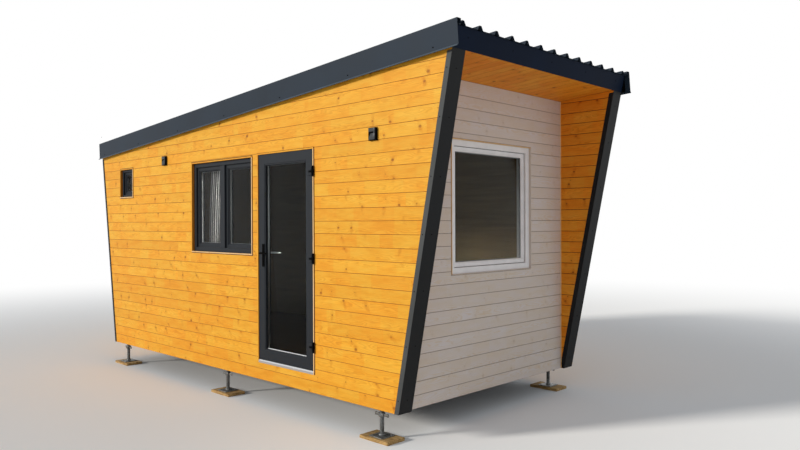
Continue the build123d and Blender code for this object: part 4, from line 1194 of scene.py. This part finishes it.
class HOUSE_OT_fittings(bpy.types.Operator):
    """Make the wall lights, the curtain, its rail and the screw jacks"""
    bl_idname = "house.fittings"
    bl_label = "Lights, curtain and jacks"

    def execute(self, context):
        self.make_lights()
        self.make_curtain()
        self.make_jacks()
        return {"FINISHED"}

    def make_lights(self):
        """Box lights: a black housing and a graphite face in two parts, with the sensor's dark slot and
        rounded hollow between them."""
        housing, faces = bmesh.new(), bmesh.new()
        # Outlines in millimetres from the middle of the housing's top edge
        upper = ((-40, -33), (16, -34), (20, -47), (33, -47), (33, -4), (-40, -4))
        lower = ((-10, -47.5), (-20, -58), (-30, -71), (-36, -85), (-39, -99), (33, -99), (33, -47.5))
        top, half_width, height, depth = LIGHT_TOP, 0.046, 0.106, 0.0225
        for inset in LIGHT_INSETS:
            x = FRONT_FOOT - inset
            add_box(housing, (x - half_width, top - height, 0), (x + half_width, top, depth), 0.004, 3)
            for outline in (upper, lower):
                shape = [(x + a / 1000, top + b / 1000) for a, b in outline]
                add_slab(faces, shape, depth - 0.001, depth + 0.004, 0.001)
            for side in (-0.014, 0.014):
                add_drum(housing, Matrix.Translation((x + side, top - 0.1022, 0.0228)), 0.0022, 0.002, 12)
        put(DOOR_SIDE, housing, faces)
        finish_piece(housing, "light_housings", "black", replaces="wall_lights", smooth=50)
        finish_piece(faces, "light_faces", "graphite", smooth=50)

    def make_curtain(self):
        """Striped cloth gathered in pleats on its rail, drawn together towards one side at its foot."""
        pleats = settings()[2].pleats
        low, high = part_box("curtain")
        width, height = high.x - low.x, high.z - low.z
        swing = (high.y - low.y) * 0.42
        middle = (low.y + high.y) / 2
        columns, rows = pleats * 14, 24
        bm = bmesh.new()
        verts = [bm.verts.new((low.x + width * i / columns, middle, high.z)) for i in range(columns + 1)]
        edges = [bm.edges.new(pair) for pair in zip(verts, verts[1:])]
        for row in range(rows):
            fresh, edges, _ = sorted_out(bmesh.ops.extrude_edge_only(bm, edges=edges)["geom"])
            bmesh.ops.translate(bm, verts=fresh, vec=(0, 0, -height / rows))
        uv = bm.loops.layers.uv.new("UVMap")
        for loop in (loop for face in bm.faces for loop in face.loops):
            spot = loop.vert.co
            loop[uv].uv = ((spot.x - low.x) / width * pleats * CLOTH_REPEAT, spot.z)
        for vert in bm.verts:
            share = (vert.co.x - low.x) / width
            drop = (high.z - vert.co.z) / height
            pleat = share * pleats
            vert.co.x += 0.004 * math.sin(5 * drop + pleat) * drop * min(1.0, 12 * share * (1 - share))
            vert.co.x = low.x + (vert.co.x - low.x) * 0.84 + width * 0.16 * (1 - drop) ** 1.5
            vert.co.y += swing * math.sin(2 * math.pi * pleat) * (0.85 + 0.15 * math.cos(2 * pleat + drop))
        obj = finish_piece(bm, "striped_curtain", "cloth", replaces="curtain", smooth=180)
        dress("aluminium", "curtain_rail")

    def make_jacks(self):
        """Screw jacks: threaded stems between two plates, winged nuts and bevelled timber pads."""
        pads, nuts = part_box("jack_pads"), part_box("jack_nuts")
        low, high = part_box("jack_stems")
        foot, head = low.z + 0.008, high.z - 0.006
        z = (nuts[0].z + nuts[1].z) / 2
        steel, wings, timber = bmesh.new(), bmesh.new(), bmesh.new()
        thread = self.thread(foot, head)
        half_length, half_width = 0.165, 0.100
        for x in (pads[0].x + half_length, (pads[0].x + pads[1].x) / 2, pads[1].x - half_length):
            for y in (pads[0].y + half_width, pads[1].y - half_width):
                for bm, half_x, half_y, bottom, top, bevel in (
                        (timber, half_length, half_width, pads[0].z, pads[1].z, 0.004),
                        (steel, 0.075, 0.075, low.z, foot, 0.0015),
                        (steel, 0.038, 0.038, head, high.z, 0.0012)):
                    add_box(bm, (x - half_x, y - half_y, bottom), (x + half_x, y + half_y, top), bevel)
                add_drum(steel, Matrix.Translation((x, y, low.z + 0.014)), 0.026, 0.014, 24, 0.004)
                thread.transform(Matrix.Translation((x, y, 0)))
                steel.from_mesh(thread)
                thread.transform(Matrix.Translation((-x, -y, 0)))
                add_drum(wings, Matrix.Translation((x, y, z)), 0.031, 0.030, 6, 0.002)
                for side in (-1, 1):
                    add_screw(steel, (x + side * 0.058, y + side * 0.05, foot), (0, 0, 1), 0.006, 0.010)
                    self.add_wing(wings, x, y, z, side)
        bpy.data.meshes.remove(thread)
        finish_piece(steel, "jack_screws", "zinc", replaces="jack_stems", smooth=35)
        finish_piece(wings, "jack_wing_nuts", "zinc", replaces="jack_nuts", smooth=35)
        finish_piece(timber, "jack_timber_pads", "sawn", replaces="jack_pads")

    def thread(self, low, high):
        """Round-crested thread of 7 mm pitch, spun as one ridge about the origin from plate to plate."""
        pitch, steps, root, crest = 0.007, 14, 0.0160, 0.0190
        turns = round((high - low) / pitch) - 1
        bm = bmesh.new()
        profile = [bm.verts.new((radius, 0, low + rise)) for radius, rise in (
            (root, 0), (crest, 0.0025), (crest, 0.0045), (root, pitch))]
        edges = [bm.edges.new(pair) for pair in zip(profile, profile[1:])]
        bmesh.ops.spin(bm, geom=profile + edges, cent=(0, 0, 0), axis=(0, 0, 1), dvec=(0, 0, pitch / steps),
                       angle=2 * math.pi * turns, steps=steps * turns)
        bmesh.ops.remove_doubles(bm, verts=bm.verts[:], dist=1e-5)
        bmesh.ops.holes_fill(bm, edges=[e for e in bm.edges if e.is_boundary], sides=0)
        bmesh.ops.recalc_face_normals(bm, faces=bm.faces[:])
        return mesh_of(bm, "thread")

    def add_wing(self, bm, x, y, z, side):
        """Wing of a nut: a bar that widens and rises towards its rounded end."""
        bar = bmesh.ops.create_cube(bm, size=1, matrix=Matrix.LocRotScale(
            Vector((x + side * 0.052, y, z)), None, Vector((0.052, 0.012, 0.018))))["verts"]
        for vert in bar:
            if abs(vert.co.x - x) > 0.06:
                vert.co.z = z + (vert.co.z - z) * 1.5
        soften(bm, edges_of(bar), 0.004, 3)


# Floor, light and camera
def unlit_share(add):
    """1 for the rays that see the plain background: from the camera, a reflection or a glass."""
    path = add("LightPath").outputs
    seen = add("Math", [path["Is Camera Ray"], path["Is Glossy Ray"]], "MAXIMUM")
    return add("Math", [seen, path["Is Transmission Ray"]], "MAXIMUM")


def pale_floor(add):
    """Pale matt floor that keeps the shadow near the house and is plain white further out."""
    far = add("VectorMath", [add("TexCoord").outputs["Object"]], "LENGTH").outputs["Value"]
    far = add("MapRange", {"Value": far, "From Min": 5.0, "From Max": 16.0}, interpolation_type="SMOOTHSTEP")
    share = add("Math", [far, unlit_share(add)], "MULTIPLY")
    matt = add("BsdfDiffuse", {"Color": linear("F4F3F0"), "Roughness": 0.6})
    return add("MixShader", [share, matt, add("Emission", {"Color": (1, 1, 1, 1), "Strength": 1.0})])


class HOUSE_OT_stage(bpy.types.Operator):
    """Set the floor, the soft light and the camera"""
    bl_idname = "house.stage"
    bl_label = "Stage"

    def execute(self, context):
        self.make_floor()
        self.make_light()
        self.make_camera()
        return {"FINISHED"}

    def make_floor(self):
        """Floor that runs out past the picture's edges."""
        bm = bmesh.new()
        bmesh.ops.create_grid(bm, x_segments=1, y_segments=1, size=200)
        floor = linked("studio_floor", mesh_of(bm, "studio_floor"))
        floor.data.materials.append(make_material("pale_floor", pale_floor))

    def make_light(self):
        """Soft sun from the front left, and an even world for the shaded sides."""
        lamp = bpy.data.lights.new("soft_sun", "SUN")
        lamp.energy = 2.3
        lamp.angle = math.radians(9)
        lamp.color = (1.0, 0.965, 0.91)
        sun = linked("soft_sun", lamp)
        sun.rotation_mode = "QUATERNION"
        sun.rotation_quaternion = Vector((-0.42, -0.82, 0.29)).to_track_quat("Z", "Y")
        world = bpy.data.worlds.new("studio")
        bpy.context.scene.world = world
        world.use_nodes = True
        world.node_tree.nodes.clear()
        add = partial(add_node, world.node_tree)
        fill = add("Background", {"Color": (0.86, 0.92, 1.0, 1), "Strength": 0.5})
        white = add("Background", {"Color": (1, 1, 1, 1), "Strength": 1.0})
        add("OutputWorld", {"Surface": add("MixShader", [unlit_share(add), fill, white])})
        bpy.context.scene.view_settings.view_transform = "Standard"

    def make_camera(self):
        """Camera at the photograph's place, measured from the foot of the house's front near corner."""
        sensor, photo_width, photo_focal = 36.0, 800, 709.56
        data = bpy.data.cameras.new("photo_camera")
        data.sensor_width = sensor
        data.lens = photo_focal * sensor / photo_width
        data.clip_end = 1000
        camera = linked("photo_camera", data)
        yaw, pitch, roll = (math.radians(a) for a in (44.1692, -0.2453, -0.2192))
        forward = Vector((-math.sin(yaw) * math.cos(pitch), math.cos(yaw) * math.cos(pitch), math.sin(pitch)))
        right = Vector((math.cos(yaw), math.sin(yaw), 0))
        up = right.cross(forward)
        turned_right = right * math.cos(roll) + up * math.sin(roll)
        turned_up = up * math.cos(roll) - right * math.sin(roll)
        turn = Matrix((turned_right, turned_up, -forward)).transposed().to_4x4()
        camera.matrix_world = Matrix.Translation((FRONT_FOOT + 3.9595, NEAR - 4.0044, SILL + 1.5274)) @ turn
        bpy.context.scene.camera = camera


class HOUSE_PT_panel(bpy.types.Panel):
    """Lists the steps that dress the house"""
    bl_idname = "HOUSE_PT_panel"
    bl_label = "Tiny House"
    bl_space_type = "VIEW_3D"
    bl_region_type = "UI"
    bl_category = "Tiny House"

    def draw(self, context):
        for group in settings():
            box = self.layout.box()
            for name in group.bl_rna.properties.keys():
                if name not in ("rna_type", "name"):
                    box.prop(group, name)
        for step in STEPS:
            self.layout.operator(step.bl_idname)


GROUPS = {"house_boards": HouseBoards, "house_metal": HouseMetal, "house_curtain": HouseCurtain}
STEPS = (HOUSE_OT_structure, HOUSE_OT_boards, HOUSE_OT_metalwork, HOUSE_OT_windows, HOUSE_OT_door,
         HOUSE_OT_fittings, HOUSE_OT_stage)


def register():
    for name, group in GROUPS.items():
        bpy.utils.register_class(group)
        setattr(bpy.types.Scene, name, PointerProperty(type=group))
    for step in STEPS:
        bpy.utils.register_class(step)
    bpy.utils.register_class(HOUSE_PT_panel)


def unregister():
    bpy.utils.unregister_class(HOUSE_PT_panel)
    for step in reversed(STEPS):
        bpy.utils.unregister_class(step)
    for name, group in GROUPS.items():
        delattr(bpy.types.Scene, name)
        bpy.utils.unregister_class(group)


def main():
    """Dress the house."""
    register()
    make_finishes()
    for step in STEPS:
        group, name = step.bl_idname.split(".")
        getattr(getattr(bpy.ops, group), name)()


if __name__ == "__main__":
    main()
